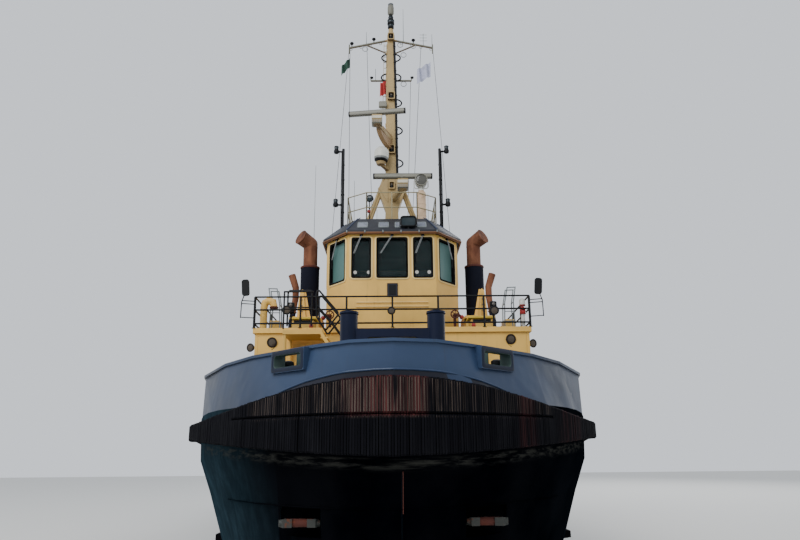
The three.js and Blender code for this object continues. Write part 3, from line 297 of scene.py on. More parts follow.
def side_sheen(finish):
    """Painted sheen: the hull's sides are painted a lighter blue where they turn away from the bow, and
    painted shade keeps it nearly off port ahead.
    """
    turned_away = finish.facing("X").maths("ABSOLUTE").step(0.62, 0.98)
    near_bow = 1.0 - finish.axis("Y").step(-9.0, -3.0)
    # Painted shade: the sheen is nearly taken off the port side ahead of the bow.
    port = finish.axis("X").step(-1.0, 1.0) * near_bow
    # Patches in the painted sheen.
    wear_and_sheen = finish.noise(0.5, 6.0, 0.7, (0.4, 1, 3)).step(0.35, 0.8) * 0.5 + 0.5
    return turned_away * wear_and_sheen * (0.95 - port * 0.9), linear(52, 72, 82)


def yard_grey(finish):
    """The yards are a duller paint than the column between them."""
    above = finish.axis("Z").step(17.0, 17.1)
    off = finish.axis("X").maths("ABSOLUTE").step(0.22, 0.26)
    return above * off, YARD_GREY


def stem_shading(finish):
    """Painted shading: the bulwark's plates round the stem are painted a lighter blue than its sides, for the
    way the light falls on them.
    """
    aside = finish.axis("X").maths("ABSOLUTE").step(1.5, 4.2)
    return (1.0 - aside) * (1.0 - finish.axis("Y").step(-12.0, -9.0)), linear(47, 64, 91)


def masthead(finish):
    """The very top of the mast is dark."""
    return finish.axis("Z").step(20.02, 20.06), linear(70, 74, 76)


def underside_shade(finish):
    """Painted shade: the downward faces of the mast's brackets are painted a dark brown."""
    above = finish.axis("Z").step(12.7, 13.0)
    return (1.0 - finish.facing("Z").step(-0.6, -0.25)) * above * 0.8, linear(92, 68, 46)


def walked(finish):
    """Every deck is a worn grey, at the two heights where it is walked on."""
    height = finish.axis("Z")
    low = height.step(2.0, 2.1) * (1.0 - height.step(3.95, 4.0))
    high = height.step(6.3, 6.35) * (1.0 - height.step(6.5, 6.55))
    return (low + high) * finish.facing("Z").step(0.75, 0.95), linear(72, 76, 76)


def scrape(finish):
    """The fender has rubbed a grey band on the plates just below it."""
    breadth = finish.axis("X").maths("ABSOLUTE") * (1 / 4.7)
    below = 2.88 + breadth ** 1.5 * 0.34 - finish.axis("Z")
    band = below.step(0.02, 0.08) * (1.0 - below.step(0.14, 0.3))
    wear_and_sheen = finish.noise(0.25, 5.0, 0.65, (5, 1, 0.3)).step(0.42, 0.66)
    return band * wear_and_sheen * (1.0 - finish.facing("Y").step(-0.5, -0.2)) * 0.6, linear(66, 66, 62)


HULL_PATCHES = [side_sheen, scrape, walked]
MAST_PATCHES = [yard_grey, underside_shade, masthead]
print("patches", len(HULL_PATCHES + MAST_PATCHES))

# %% Paints
CREAM = paint("cream_paint", linear(220, 175, 86), 0.5, rust=0.42, streaks=0.45, scuffs=0.1, patches=[walked])
MAST_CREAM = paint("mast_paint", linear(166, 142, 96), 0.55, 0.5, 0.8, scuffs=0.1, patches=MAST_PATCHES)
YARD = paint("yard_paint", YARD_GREY, 0.5, rust=0.2)
SCANNER = paint("scanner_paint", linear(104, 102, 92), 0.45, rust=0.05)
POST_PAINT = paint("post_paint", linear(196, 168, 138), 0.5, rust=0.15)
RAIL_DULL = paint("rail_paint", linear(140, 130, 98), 0.5, rust=0.3)
BULWARK = paint("bulwark_paint", linear(37, 49, 69), 0.42, 0.15, 0.55, 0.45, 0.04, 0.28, 0.28, [stem_shading])
# A dark navy that is laid round the chocks' holes as painted shade.
CHOCK = paint("chock_paint", linear(21, 29, 46), 0.45, rust=0.35, streaks=0.3, shine=0.2)
LAMP_RIM = paint("lamp_rim", linear(34, 25, 20), 0.6, rust=0.4, shine=0.2)
NAVY = paint("navy_paint", linear(8, 18, 44), 0.42, rust=0.15, streaks=0.2, scuffs=0.2, shine=0.18)
ROOF = paint("roof_paint", linear(21, 24, 34), 0.5, rust=0.2, streaks=0.2, scuffs=0.2)
BLACK = paint("black_paint", linear(12, 13, 16), 0.5, rust=0.25, streaks=0.1, scuffs=0.06, shine=0.2)
GREY = paint("grey_paint", linear(118, 124, 124), 0.6, rust=0.35, streaks=0.2, scuffs=0.3)
WHITE = paint("white_shell", linear(206, 205, 196), 0.35, rust=0.08, streaks=0.35, scuffs=0.1)
CREAM_PALE = paint("pale_paint", linear(226, 196, 130), 0.45, rust=0.3, streaks=0.35, scuffs=0.1)
TAN = paint("tan_paint", linear(150, 120, 84), 0.6, rust=0.5, streaks=0.4)
NAVY_DARK = paint("dark_plate", linear(12, 17, 34), 0.42, rust=0.15, streaks=0.2, scuffs=0.2)
ROOF_TRIM = paint("roof_trim", linear(46, 56, 82), 0.45, rust=0.2, streaks=0.2)
GUTTER = paint("gutter_paint", linear(126, 84, 52), 0.6, rust=0.9, streaks=0.5)
RADAR_GREY = paint("radar_grey", linear(128, 126, 114), 0.45, rust=0.15, streaks=0.3)
RADAR_PALE = paint("radar_pale", linear(196, 190, 172), 0.45, rust=0.15, streaks=0.3)
DOME_GREY = paint("dome_grey", linear(120, 122, 120), 0.45, rust=0.1, streaks=0.3)
ORANGE = paint("orange_paint", linear(196, 78, 30), 0.5, rust=0.05, streaks=0.2)
TEAL = paint("chock_lining", linear(58, 76, 72), 0.5, rust=0.5, streaks=0.3)
YELLOW = paint("yellow_paint", linear(206, 172, 60), 0.5, rust=0.3, streaks=0.3)
RED = paint("red_paint", linear(150, 42, 34), 0.45, rust=0.1, streaks=0.2)
HULL_SIDE = paint("hull_paint", linear(1, 2, 6), 0.55, 0.02, 0.03, 0.01, 0.05, 0.15, 0.0, HULL_PATCHES)
print("materials so far", len(bpy.data.materials))

# %% [markdown]
# The other stuffs of the ship are not paint: rubber, bare steel, bronze, scorched steel, glass and
# cloth. Each is a short recipe of its own, because what shows on each is different.


# %% Rubber
def rubber(name, color, rubbed=None, spots=()):
    """Laid-up strips: each island of the mesh is one strip, with a tone of its own. Spots are where colour
    has rubbed off on them: from one X to another, above a height, by a share."""
    finish = Finish(name, color, 0.85, Specular_IOR_Level=0.05)
    strip = finish.island()
    dust = finish.noise(0.5, 5.0, 0.65, (1, 1, 3)).step(0.45, 0.72)
    tone = finish.mix(color, shade(color, 2.0, 0.002), strip * 0.7)
    tone = finish.mix(tone, linear(60, 60, 64), dust * 0.1)
    wear_and_sheen = finish.noise(0.3, 4.0, 0.6, (0.3, 1, 5)).step(0.3, 0.6) if spots else None
    for near, far, low, share in spots:
        middle = finish.axis("X").step(near - 0.25, near) * (1.0 - finish.axis("X").step(far, far + 0.25))
        height = finish.axis("Z").step(low, low + 0.1)
        tone = finish.mix(tone, rubbed, middle * height * wear_and_sheen * (strip * 0.75 + 0.2) * share)
    finish.set("Base Color", tone)
    finish.bump(finish.noise(0.06, 3.0, 0.6, (1, 1, 6)), 0.008)
    return finish


RED_SPOTS = [(-0.2, 0.45, 3.5, 0.42), (-0.8, -0.4, 3.5, 0.22), (2.5, 2.6, 2.5, 0.2), (3.5, 3.9, 2.5, 0.14)]
PALE_SPOTS = [(-1.2, 1.0, 3.5, 0.5), (-2.6, -1.4, 3.5, 0.22), (1.2, 3.0, 3.5, 0.15)]
FENDER = rubber("fender_rubber", linear(9, 9, 13), linear(118, 60, 56), RED_SPOTS)
PLY = rubber("fender_ply", linear(13, 13, 16), linear(188, 166, 152), PALE_SPOTS)
BELT_RUBBER = rubber("belt_rubber", linear(12, 12, 15))
GASKET = rubber("gasket_rubber", linear(12, 12, 13))
print("spots on the fender", len(RED_SPOTS + PALE_SPOTS))


# %% Metals
def metal(name, color, roughness, rust=0.3, metallic=1.0):
    finish = Finish(name, color, roughness, metallic)
    clouds = finish.noise(0.25, 5.0).step(0.35, 0.7)
    stain = finish.noise(0.12, 6.0, 0.7).step(0.55, 0.7) * rust
    tone = finish.mix(shade(color, 0.75), color, clouds)
    finish.set("Base Color", finish.mix(tone, RUST, stain))
    finish.set("Metallic", (metallic - stain * metallic).clamped())
    finish.set("Roughness", (clouds * 0.15 + stain * 0.4 + roughness).clamped())
    finish.bump(finish.noise(0.03, 4.0), 0.002)
    return finish


def scorched(name, bare_from):
    """Bare funnel steel, brown and sooty toward the mouth, painted below the height where it is bare."""
    finish = Finish(name, linear(118, 74, 56), 0.85, Specular_IOR_Level=0.2)
    blotches = finish.noise(0.35, 6.0, 0.65, (1, 1, 2)).step(0.35, 0.68)
    tone = finish.mix(linear(96, 58, 42), linear(134, 88, 64), blotches)
    streaks = finish.noise(0.07, 4.0, 0.6, (1, 1, 14)).step(0.5, 0.75)
    tone = finish.mix(tone, linear(84, 46, 36), streaks * 0.5)
    soot = finish.axis("Z").step(10.1, 10.75) * finish.noise(0.3, 4.0).step(0.35, 0.6)
    tone = finish.mix(tone, linear(46, 34, 32), soot * 0.6)
    lagged = 1.0 - finish.axis("Z").step(bare_from, bare_from + 0.03)
    finish.set("Base Color", finish.mix(tone, linear(10, 13, 28), lagged))
    finish.bump(finish.noise(0.04, 5.0, 0.7), 0.006)
    return finish


DRUM = metal("drum_steel", linear(128, 126, 122), 0.45, rust=0.6)
ZINC = metal("galvanised", linear(158, 160, 160), 0.45, rust=0.15, metallic=0.7)
ANCHOR = metal("anchor_steel", linear(60, 62, 58), 0.6, rust=0.9, metallic=0.3)
BRONZE = metal("screw_bronze", linear(176, 132, 66), 0.35, rust=0.1)
SCORCHED = scorched("exhaust_rust", 9.33)
PIPE_RUST = scorched("pipe_rust", 7.4)
WORN = metal("worn_steel", linear(122, 118, 112), 0.5, rust=0.5)
RUSTY = metal("rusty_steel", linear(92, 46, 36), 0.8, rust=0.9, metallic=0.2)
SOOT = metal("soot", linear(22, 18, 17), 0.95, rust=0.1, metallic=0.0)
print("materials so far", len(bpy.data.materials))


# %% Glass and cloth
def pane(name, color, clear, side_reflection=None):
    """Glass: clear is the share that is seen through, and side_reflection is a painted reflection: the colour
    that the glass takes where it faces to a side.
    """
    finish = Finish(name, color, 0.06, Alpha=1 - clear, Specular_IOR_Level=0.3)
    grime = finish.noise(0.4, 5.0, 0.6, (1, 1, 3)).step(0.4, 0.75)
    # The bands are painted reflections: lighter streaks laid across the glass.
    bands = finish.noise(0.3, 3.0, 0.5, (6, 6, 0.5)).step(0.42, 0.62)
    tone = finish.mix(color, shade(color, 1.0, 0.02), grime * 0.5 + bands * 0.5)
    if side_reflection:
        # Painted reflection: where the glass faces to a side it takes the reflection's colour and is less
        # seen through.
        aside = finish.facing("X").maths("ABSOLUTE").step(0.3, 0.6)
        tone = finish.mix(tone, side_reflection, aside)
        finish.set("Alpha", (1 - clear + aside * clear).clamped())
    finish.set("Base Color", tone)
    finish.set("Roughness", grime * 0.12 + 0.03 + (aside * 0.45 if side_reflection else 0.0))
    return finish


def cloth(name, color):
    """Woven stuff: a fine weave for relief, and a little dirt."""
    finish = Finish(name, color, 0.9)
    dirt = finish.noise(0.2, 4.0).step(0.45, 0.75)
    finish.set("Base Color", finish.mix(color, shade(color, 0.7), dirt))
    finish.bump(finish.noise(0.004, 2.0), 0.001)
    return finish


# The last colour is the painted reflection on panes that face to a side.
GLASS = pane("window_glass", (0.001, 0.012, 0.012), 0.4, linear(82, 116, 112))
LENS = pane("lamp_lens", (0.07, 0.052, 0.034), 0.0)
LENS_WHITE = pane("white_lens", (0.7, 0.72, 0.68), 0.0)
LENS_WHITE.set("Emission Color", (1.0, 0.97, 0.9))
LENS_WHITE.set("Emission Strength", 3.0)
LENS_GREEN = pane("search_lens", (0.075, 0.073, 0.062), 0.0)
LENS_RED = pane("red_lens", (0.4, 0.02, 0.02), 0.0)
SKY_GLASS = pane("porthole_glass", (0.02, 0.05, 0.055), 0.0)
# The skylights' pale blue-grey is a painted reflection of the sky.
ROOF_LIGHT = pane("skylight_glass", (0.16, 0.175, 0.215), 0.0)
SCREEN = pane("helm_screen", (0.01, 0.02, 0.025), 0.0)
SEAT = cloth("seat_cloth", linear(26, 28, 33))
ROPE = cloth("line_fibre", linear(34, 34, 36))
HAWSER = cloth("hawser_fibre", linear(150, 138, 104))
FLAG_GREEN = cloth("green_cloth", linear(36, 70, 56))
# The white cloth is given a bluish grey, partly as painted shade.
FLAG_WHITE = cloth("white_cloth", linear(176, 178, 196))
FLAG_RED = cloth("red_cloth", linear(168, 48, 44))
print("materials so far", len(bpy.data.materials))

# %% [markdown]
# The frame's own nodes keep their shapes. One modifier joins their split corners and turns shallow
# angles smooth, and another rounds the sharp edges by about a centimetre, so that paint catches the
# light there as it does on real plate.


# %% Soft edges
SHARP = math.radians(38)  # edges that turn more than this stay sharp and are rounded


def soft_edges():
    group = bpy.data.node_groups.new("soft_edges", "GeometryNodeTree")
    for in_out in ("INPUT", "OUTPUT"):
        group.interface.new_socket("Geometry", in_out=in_out, socket_type="NodeSocketGeometry")
    make = group.nodes.new
    merge = make("GeometryNodeMergeByDistance")
    merge.inputs["Distance"].default_value = 0.0004
    bare = make("GeometryNodeRemoveAttribute")
    bare.inputs["Name"].default_value = "custom_normal"
    sharp = make("ShaderNodeMath")
    sharp.operation = "GREATER_THAN"
    sharp.inputs[1].default_value = SHARP
    faces = make("GeometryNodeSetShadeSmooth")
    edges = make("GeometryNodeSetShadeSmooth")
    edges.domain = "EDGE"
    edges.inputs["Shade Smooth"].default_value = False
    chain = [make("NodeGroupInput"), merge, bare, faces, edges, make("NodeGroupOutput")]
    for before, after in zip(chain, chain[1:]):
        group.links.new(before.outputs[0], after.inputs[0])
    angle = make("GeometryNodeInputMeshEdgeAngle").outputs["Unsigned Angle"]
    group.links.new(angle, sharp.inputs[0])
    group.links.new(sharp.outputs[0], edges.inputs["Selection"])
    return group


SOFT_EDGES = soft_edges()
print("soft edges take", len(SOFT_EDGES.nodes), "nodes")

# %% Finishes of the frame's nodes
ROUND = 0.012  # width of the rounding


def dress(node, finish):
    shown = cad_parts[node]
    shown.data.materials.clear()
    shown.data.materials.append(finish.material)
    shown.modifiers.new("soft_edges", "NODES").node_group = SOFT_EDGES
    bevel = shown.modifiers.new("round", "BEVEL")
    bevel.width = ROUND
    bevel.segments = 2
    bevel.limit_method = "ANGLE"
    bevel.angle_limit = SHARP
    bevel.harden_normals = True


DRESSES = {  # how the names of the nodes begin; a later line wins over an earlier one
    HULL_SIDE: "hull skeg drive_",
    BULWARK: "bulwark_",
    BELT_RUBBER: "fender_ strake_",
    NAVY: "tow_bitt bow_winch_frame aft_winch_frame aft_bitt",
    ANCHOR: "anchor_",
    DRUM: "bow_winch_drum aft_winch_drum",
    GREY: "hatch_lid helm_station",
    CREAM: "deckhouse_ bridge_deck fore_stair door_ wheelhouse_",
    GLASS: "wheelhouse_glass",
    ROOF: "wheelhouse_roof",
    SCORCHED: "exhaust_",
    BLACK: "bridge_rail_ mirror_ pole_",
    WHITE: "raft_ satellite_dome searchlight",
    RAIL_DULL: "roof_rail",
    MAST_CREAM: "mast scanner_",
    BRONZE: "screw_",
}
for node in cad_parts:
    fitting = [finish for finish, names in DRESSES.items() if node.startswith(tuple(names.split()))]
    dress(node, fitting[-1])
print("dressed", len(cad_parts), "nodes in", len(DRESSES), "finishes")

# %% [markdown]
# Most of the fittings are pipes, plates, turned bodies and cast blocks. All of these are skins over a row
# of rings, so one class, built up in steps, makes them: it gathers rings into a mesh, remembers which
# finish each face takes, and hands the result over as a piece that rides on a body. A few helpers
# before it lay out points and say where a shape is put.


# %% Points and places
X, Y, Z = Vector((1, 0, 0)), Vector((0, 1, 0)), Vector((0, 0, 1))
ORIGIN = Vector((0, 0, 0))
FULL_TURN = 2 * math.pi
MIRROR = Matrix.Diagonal((-1, 1, 1, 1))
BOTH = (Matrix(), MIRROR)
SIDES = (("port", Matrix()), ("starboard", MIRROR))


def put(place, angle=0.0, axis="Z"):
    """The move to a place, after a turn about one axis."""
    return Matrix.Translation(place) @ Matrix.Rotation(angle, 4, axis)


def arc(centre, radius, across, up, steps=16, start=0.0, sweep=FULL_TURN):
    """Points on a circle, or on a part of it, in the plane of two axes."""
    angles = [start + sweep * i / steps for i in range(steps + 1)]
    return [Vector(centre) + (across * math.cos(a) + up * math.sin(a)) * radius for a in angles]


def upright(points, y):
    """Points of (x, z) set upright at one depth."""
    return [(x, y, z) for x, z in points]


def reading(table, value):
    """What a table of pairs gives for a value, on a straight line between its rows."""
    for (x0, y0), (x1, y1) in zip(table, table[1:]):
        if value <= x1:
            return y0 + (y1 - y0) * (value - x0) / (x1 - x0)
    return table[-1][1]


def around(direction):
    """A frame whose Z runs along a direction."""
    return Vector(direction).normalized().to_track_quat("Z", "Y").to_matrix()


def ring(centre, direction, radius, sides):
    turn = around(direction)
    angles = [FULL_TURN * (i + 0.5) / sides for i in range(sides)]
    return [Vector(centre) + turn @ Vector((radius * math.cos(a), radius * math.sin(a), 0)) for a in angles]


def rounded(width, height, radius, steps=4):
    """A rectangle about the origin with round corners, as (x, z) pairs."""
    points = []
    corners = ((1, 1), (-1, 1), (-1, -1), (1, -1))
    for quarter, (sx, sz) in enumerate(corners):
        middle = Vector((sx * (width / 2 - radius), sz * (height / 2 - radius)))
        for i in range(steps + 1):
            a = math.pi / 2 * (quarter + i / steps)
            points.append(middle + Vector((math.cos(a), math.sin(a))) * radius)
    return [(p.x, p.y) for p in points]


print("a rounded pane has", len(rounded(1.0, 1.4, 0.1)), "corners")


# %% Surfaces
class Surface:
    def __init__(self, finish, at=Matrix()):
        self.mesh = bmesh.new()
        self.finishes = [finish]
        self.number = 0
        self.at = at

    def wear(self, finish):
        """The faces that come next take this finish."""
        if finish not in self.finishes:
            self.finishes.append(finish)
        self.number = self.finishes.index(finish)
        return self

    def skin(self, rings, caps=True, wrap=False):
        rows = [[self.mesh.verts.new(self.at @ Vector(p)) for p in one] for one in rings]
        count = len(rows[0])
        faces = []
        for low, high in zip(rows, rows[1:] + rows[:1] if wrap else rows[1:]):
            for i in range(count):
                j = (i + 1) % count
                faces.append(self.mesh.faces.new((low[i], low[j], high[j], high[i])))
        if caps and not wrap:
            faces.append(self.mesh.faces.new(rows[0][::-1]))
            faces.append(self.mesh.faces.new(rows[-1]))
        for face in faces:
            face.material_index = self.number
        return faces

    def piece(self, name, slot, body="ship", replaces=(), smooth=40):
        """The finished piece: it rides on a body and may stand for frame nodes. Its slot is not used."""
        bmesh.ops.recalc_face_normals(self.mesh, faces=self.mesh.faces)
        data = bpy.data.meshes.new(name)
        self.mesh.to_mesh(data)
        self.mesh.free()
        for finish in self.finishes:
            data.materials.append(finish.material)
        data.shade_smooth()
        data.set_sharp_from_angle(angle=math.radians(smooth))
        shown = bpy.data.objects.new(name, data)
        bpy.context.scene.collection.objects.link(shown)
        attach(shown, body)
        if replaces:
            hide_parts(*replaces)
        return shown


print("a surface's methods", methods(Surface))


# %% Pipes and turned bodies
class Turned(Surface):
    def rod(self, start, end, radius, sides=12, end_radius=None):
        run = Vector(end) - Vector(start)
        last = radius if end_radius is None else end_radius
        self.skin([ring(start, run, radius, sides), ring(end, run, last, sides)])

    def pipe(self, points, radius, sides=10, radii=None):
        """A pipe with mitred bends, or a hoop where the last point is the first."""
        points = [Vector(p) for p in points]
        loop = (points[0] - points[-1]).length < 1e-6
        if loop:
            points.pop()
        count = len(points)
        rings = []
        turn = None
        for i, point in enumerate(points):
            before = points[(i - 1) % count] if loop or i else point
            after = points[(i + 1) % count] if loop or i < count - 1 else point
            ahead = ((point - before).normalized() + (after - point).normalized()).normalized()
            if turn is None:
                turn = around(ahead)
            else:
                turn = (turn.col[2].rotation_difference(ahead).to_matrix() @ turn).normalized()
            one = (point - before) if before != point else (after - point)
            stretch = 1 / max(one.normalized().dot(ahead), 0.5)
            side = one.normalized() - ahead * one.normalized().dot(ahead)
            side = side.normalized() if side.length > 1e-6 else None
            size = radii[i] if radii else radius
            row = []
            for k in range(sides):
                a = FULL_TURN * k / sides
                away = turn @ Vector((size * math.cos(a), size * math.sin(a), 0))
                if side:
                    away += side * away.dot(side) * (stretch - 1)
                row.append(point + away)
            rings.append(row)
        self.skin(rings, caps=not loop, wrap=loop)

    def turned(self, profile, foot=ORIGIN, direction=Z, sides=24):
        """A turned body: its profile is (radius, distance along the direction)."""
        axis = Vector(direction).normalized()
        rows = [ring(Vector(foot) + axis * h, axis, max(r, 0.0005), sides) for r, h in profile]
        self.skin(rows)

    def hoop(self, place, inner, outer, half, flat, direction=Z, sides=24):
        """A raised band round a pipe: half is half its width at the foot, flat that on its outside."""
        profile = [(inner, -half), (outer, -flat), (outer, flat), (inner, half)]
        self.turned(profile, place, direction, sides)

    def bolt(self, place, direction, radius, height, crown):
        self.turned([(radius, 0), (radius, height), (0.0, crown)], place, direction, 6)


print("round shapes", methods(Turned))


# %% Blocks and plates
class Shape(Turned):
    def block(self, low, high, soft=0.01):
        """A block with chamfered edges."""
        (x0, y0, z0), (x1, y1, z1) = low, high
        soft = min(soft, abs(x1 - x0) / 2.2, abs(y1 - y0) / 2.2, abs(z1 - z0) / 2.2)
        rings = []
        for z, inset in ((z0, soft), (z0 + soft, 0), (z1 - soft, 0), (z1, soft)):
            a, b, c, d = x0 + inset, x1 - inset, y0 + inset, y1 - inset
            rings.append(
                [(a + soft, c, z), (b - soft, c, z), (b, c + soft, z), (b, d - soft, z)]
                + [(b - soft, d, z), (a + soft, d, z), (a, d - soft, z), (a, c + soft, z)]
            )
        self.skin(rings)

    def slab(self, outline, low, high, soft=0.0):
        """A plate cut to an outline of (x, z), from one y to another in the shape's own frame."""
        middle = [sum(values) / len(outline) for values in zip(*outline)]

        def line(y, inset):
            points = []
            for x, z in outline:
                aside, above = x - middle[0], z - middle[1]
                grow = 1 - inset / max(abs(aside), abs(above), 1e-3)
                points.append((middle[0] + aside * grow, y, middle[1] + above * grow))
            return points

        if soft:
            self.skin([line(low, soft), line(low + soft, 0), line(high - soft, 0), line(high, soft)])
        else:
            self.skin([line(low, 0), line(high, 0)])

    def band(self, sections):
        """A frame: outlines of (x, z) at a depth each, closed into themselves."""
        self.skin([upright(outline, y) for outline, y in sections], wrap=True)

    def rim(self, outer, inner, back, front):
        """A flat frame between two outlines, from one depth to another."""
        self.band([(outer, back), (outer, front), (inner, front), (inner, back)])


print("flat shapes", methods(Shape))

# %% [markdown]
# The bow fender is not one block of rubber: it is hundreds of strips cut from old tyres, set on edge and
# bolted through in packs. A moulded body with ribs would be too even, so each strip is a body of its own,
# a little deeper or shallower than its neighbour, in two rows that follow the arch of the bow.

# %% Outline of the bow fender
HALF_BEAM, BOW, ENTRY, FULLNESS = 5.0, -14.7, 6.5, 1.7
FENDER_OUT, FENDER_SIDE = 0.4, 0.27
STRIP = 0.053  # pitch of a strip


def bow_point(share, out):
    """A point of the bow's outline in plan: share runs from -1 at starboard through the stem to 1."""
    a = abs(share) * math.pi / 2
    half = HALF_BEAM + FENDER_SIDE * out
    bow = BOW - FENDER_OUT * out
    x = half * math.sin(a) ** (2 / FULLNESS)
    y = bow + (ENTRY + FENDER_OUT * out) * (1 - math.cos(a) ** (2 / FULLNESS))
    return Vector((math.copysign(x, share), y))


def fender_top(x):
    return 3.6 + 0.65 * (1 - min(abs(x) / 4.7, 1) ** 2) ** 1.8


def fender_bottom(x):
    return 2.88 + 0.34 * min(abs(x) / 4.7, 1) ** 1.5


def even_shares(pitch):
    """Shares of the outer line that lie one pitch apart."""
    steps = 2000
    line = [bow_point(2 * i / steps - 1, 1) for i in range(steps + 1)]
    shares, run = [], pitch / 2
    for i, (a, b) in enumerate(zip(line, line[1:])):
        run += (b - a).length
        if run >= pitch:
            run -= pitch
            shares.append(2 * (i + 0.5) / steps - 1)
    return shares


shares = even_shares(STRIP)
print("strips along the bow", len(shares))

# %% Bow fender of laid-up strips
random.seed(4)
PACK = 10  # strips in one bolted pack
ROW = 3.59  # height of the slot between the two rows
SPLIT = 0.22  # least height of a strip in the upper row


def strip(shape, share, low, high, depth_change, width):
    outer, inner = bow_point(share, 1), bow_point(share, 0)
    ahead = (bow_point(share + 0.002, 1) - bow_point(share - 0.002, 1)).normalized()
    out = Vector((ahead.y, -ahead.x))
    depth = (outer - inner).length + 0.05
    chamfer, lip = 0.007, 0.03
    rings = []
    for z, back in ((low, lip), (low + lip, 0), (high - lip, 0), (high, lip)):
        face = outer + out * (depth_change - back)
        corners = ((-width, -depth), (-width, -chamfer), (-width + chamfer, 0))
        corners += ((width - chamfer, 0), (width, -chamfer), (width, -depth))
        rings.append([(*(face + ahead * a + out * b), z) for a, b in corners])
    for face in shape.skin(rings):
        if abs(face.calc_center_median().z - (low + high) / 2) < 0.4 * (high - low):
            side = face.calc_area() / max(high - low - 2 * lip, 0.01)
            face.material_index = 1 if side < chamfer * 2 else 0


fender = Shape(FENDER)
fender.wear(PLY).wear(FENDER)
for i, share in enumerate(shares):
    x = bow_point(share, 1).x
    gap = 0.004 if i % PACK else 0.009
    depth_change = random.uniform(-0.012, 0.0) - (0.01 if random.random() < 0.06 else 0)
    width = STRIP / 2 - gap
    low, top = fender_bottom(x) + random.uniform(-0.006, 0.006), fender_top(x) - random.uniform(0, 0.012)
    strip(fender, share, low, ROW - 0.008 if top - ROW > SPLIT else top, depth_change, width)
    if top - ROW > SPLIT:
        strip(fender, share, ROW + 0.008, top, depth_change + random.uniform(-0.006, 0.0), width)
bow_fender = fender.piece("bow_fender_strips", "fender_rubber", replaces=("fender_bow",), smooth=25)
print("faces of the strips", len(bow_fender.data.polygons))

# %% [markdown]
# Above the rubber a half-round moulding runs along the bulwark, and below it a dark strip is laid on the
# plate as painted shade. The moulding lies on the creased plates, so its place is worked out from the same
# stations that the plates have. Inside, the bulwark is held up by rows of triangular brackets.


# %% Bulwark mouldings
BOW_STATIONS = [  # half-breadth and y of the top, then of the foot
    (0.0, -14.69, 0.0, -14.66),
    (0.78, -14.49, 0.95, -14.44),
    (1.44, -13.95, 1.75, -14.0),
    (2.95, -12.5, 3.22, -12.6),
    (3.77, -11.45, 3.99, -11.45),
    (4.66, -9.85, 4.69, -9.85),
    (4.93, -8.2, 4.96, -8.2),
]
DECK_BOW, CAP_BOW = 3.85, 4.89


def deck_height(y):
    s = min(max((y - 4.0) / (-12.0 - 4.0), 0), 1)
    return 2.25 + 1.6 * s * s * (3 - 2 * s)


def on_bulwark(x, z, proud=0.0):
    """A point on the outside of the bow's plates, at a breadth and height."""
    below = 1 - (z - DECK_BOW) / (CAP_BOW - DECK_BOW)
    line = [(a + (c - a) * below, b + (d - b) * below) for a, b, c, d in BOW_STATIONS]
    return Vector((x, reading(line, abs(x)) - proud, z))


MOULDING = [(0.0, 4.39), (0.35, 4.39), (0.78, 4.37), (1.1, 4.34), (1.44, 4.285)]
MOULDING += [(1.7, 4.23), (2.0, 4.15), (2.25, 4.07)]
fine = []
for (x0, z0), (x1, z1) in zip(MOULDING, MOULDING[1:]):
    fine += [(x0 + (x1 - x0) * k / 8, z0 + (z1 - z0) * k / 8) for k in range(8)]
moulding_line = [(-x, z) for x, z in fine[:0:-1]] + fine
fore_plates = Shape(BULWARK)
fore_plates.pipe([on_bulwark(x, z, 0.012) for x, z in moulding_line], 0.022, 8)
# A dark strip under the moulding: painted shade.
fore_plates.wear(NAVY_DARK)
upper = [on_bulwark(x, z, 0.01) for x, z in moulding_line]
lower = [on_bulwark(x, 3.95, 0.01) for x, _ in moulding_line]
fore_plates.skin([[high, low, low + Y * 0.03, high + Y * 0.03] for high, low in zip(upper, lower)])
fore_plates.piece("bulwark_moulding", "bulwark_paint")
print("moulding length", round(sum((b - a).length for a, b in zip(upper, upper[1:])), 2))

# %% Bulwark brackets
brackets = Shape(BULWARK)
for side in BOTH:
    brackets.at = side
    for i in range(24):
        y = -6.9 + 0.87 * i
        floor_z = deck_height(y) + 0.004
        outline = [(4.87, floor_z), (4.87, floor_z + 0.9), (4.8, floor_z + 0.9), (4.55, floor_z)]
        brackets.slab(outline, y - 0.006, y + 0.006)
    for (x0, y0, c0, d0), (x1, y1, c1, d1) in zip(BOW_STATIONS[2:], BOW_STATIONS[3:]):
        for share in (0.25, 0.75):
            foot = Vector((c0 + (c1 - c0) * share, d0 + (d1 - d0) * share, deck_height(d0) + 0.004))
            head = Vector((x0 + (x1 - x0) * share, y0 + (y1 - y0) * share, foot.z + 0.95))
            inward = Vector((-(d1 - d0), c1 - c0, 0)).normalized()
            inward = inward if inward.x < 0 else -inward
            along = inward.cross(Z) * 0.006
            start = inward * 0.11
            corners = [foot + start, head + start, head + inward * 0.17, foot + inward * 0.4]
            brackets.skin([[p - along for p in corners], [p + along for p in corners]])
for i in range(9):
    x = -3.2 + 0.8 * i
    outline = [(14.43, 2.254), (14.43, 3.15), (14.36, 3.15), (14.1, 2.254)]
    brackets.at = put((x, 0, 0), math.pi / 2)
    brackets.slab(outline, -0.006, 0.006)
shown = brackets.piece("bulwark_brackets", "bulwark_paint")
print("brackets", len(shown.data.polygons) // 6)
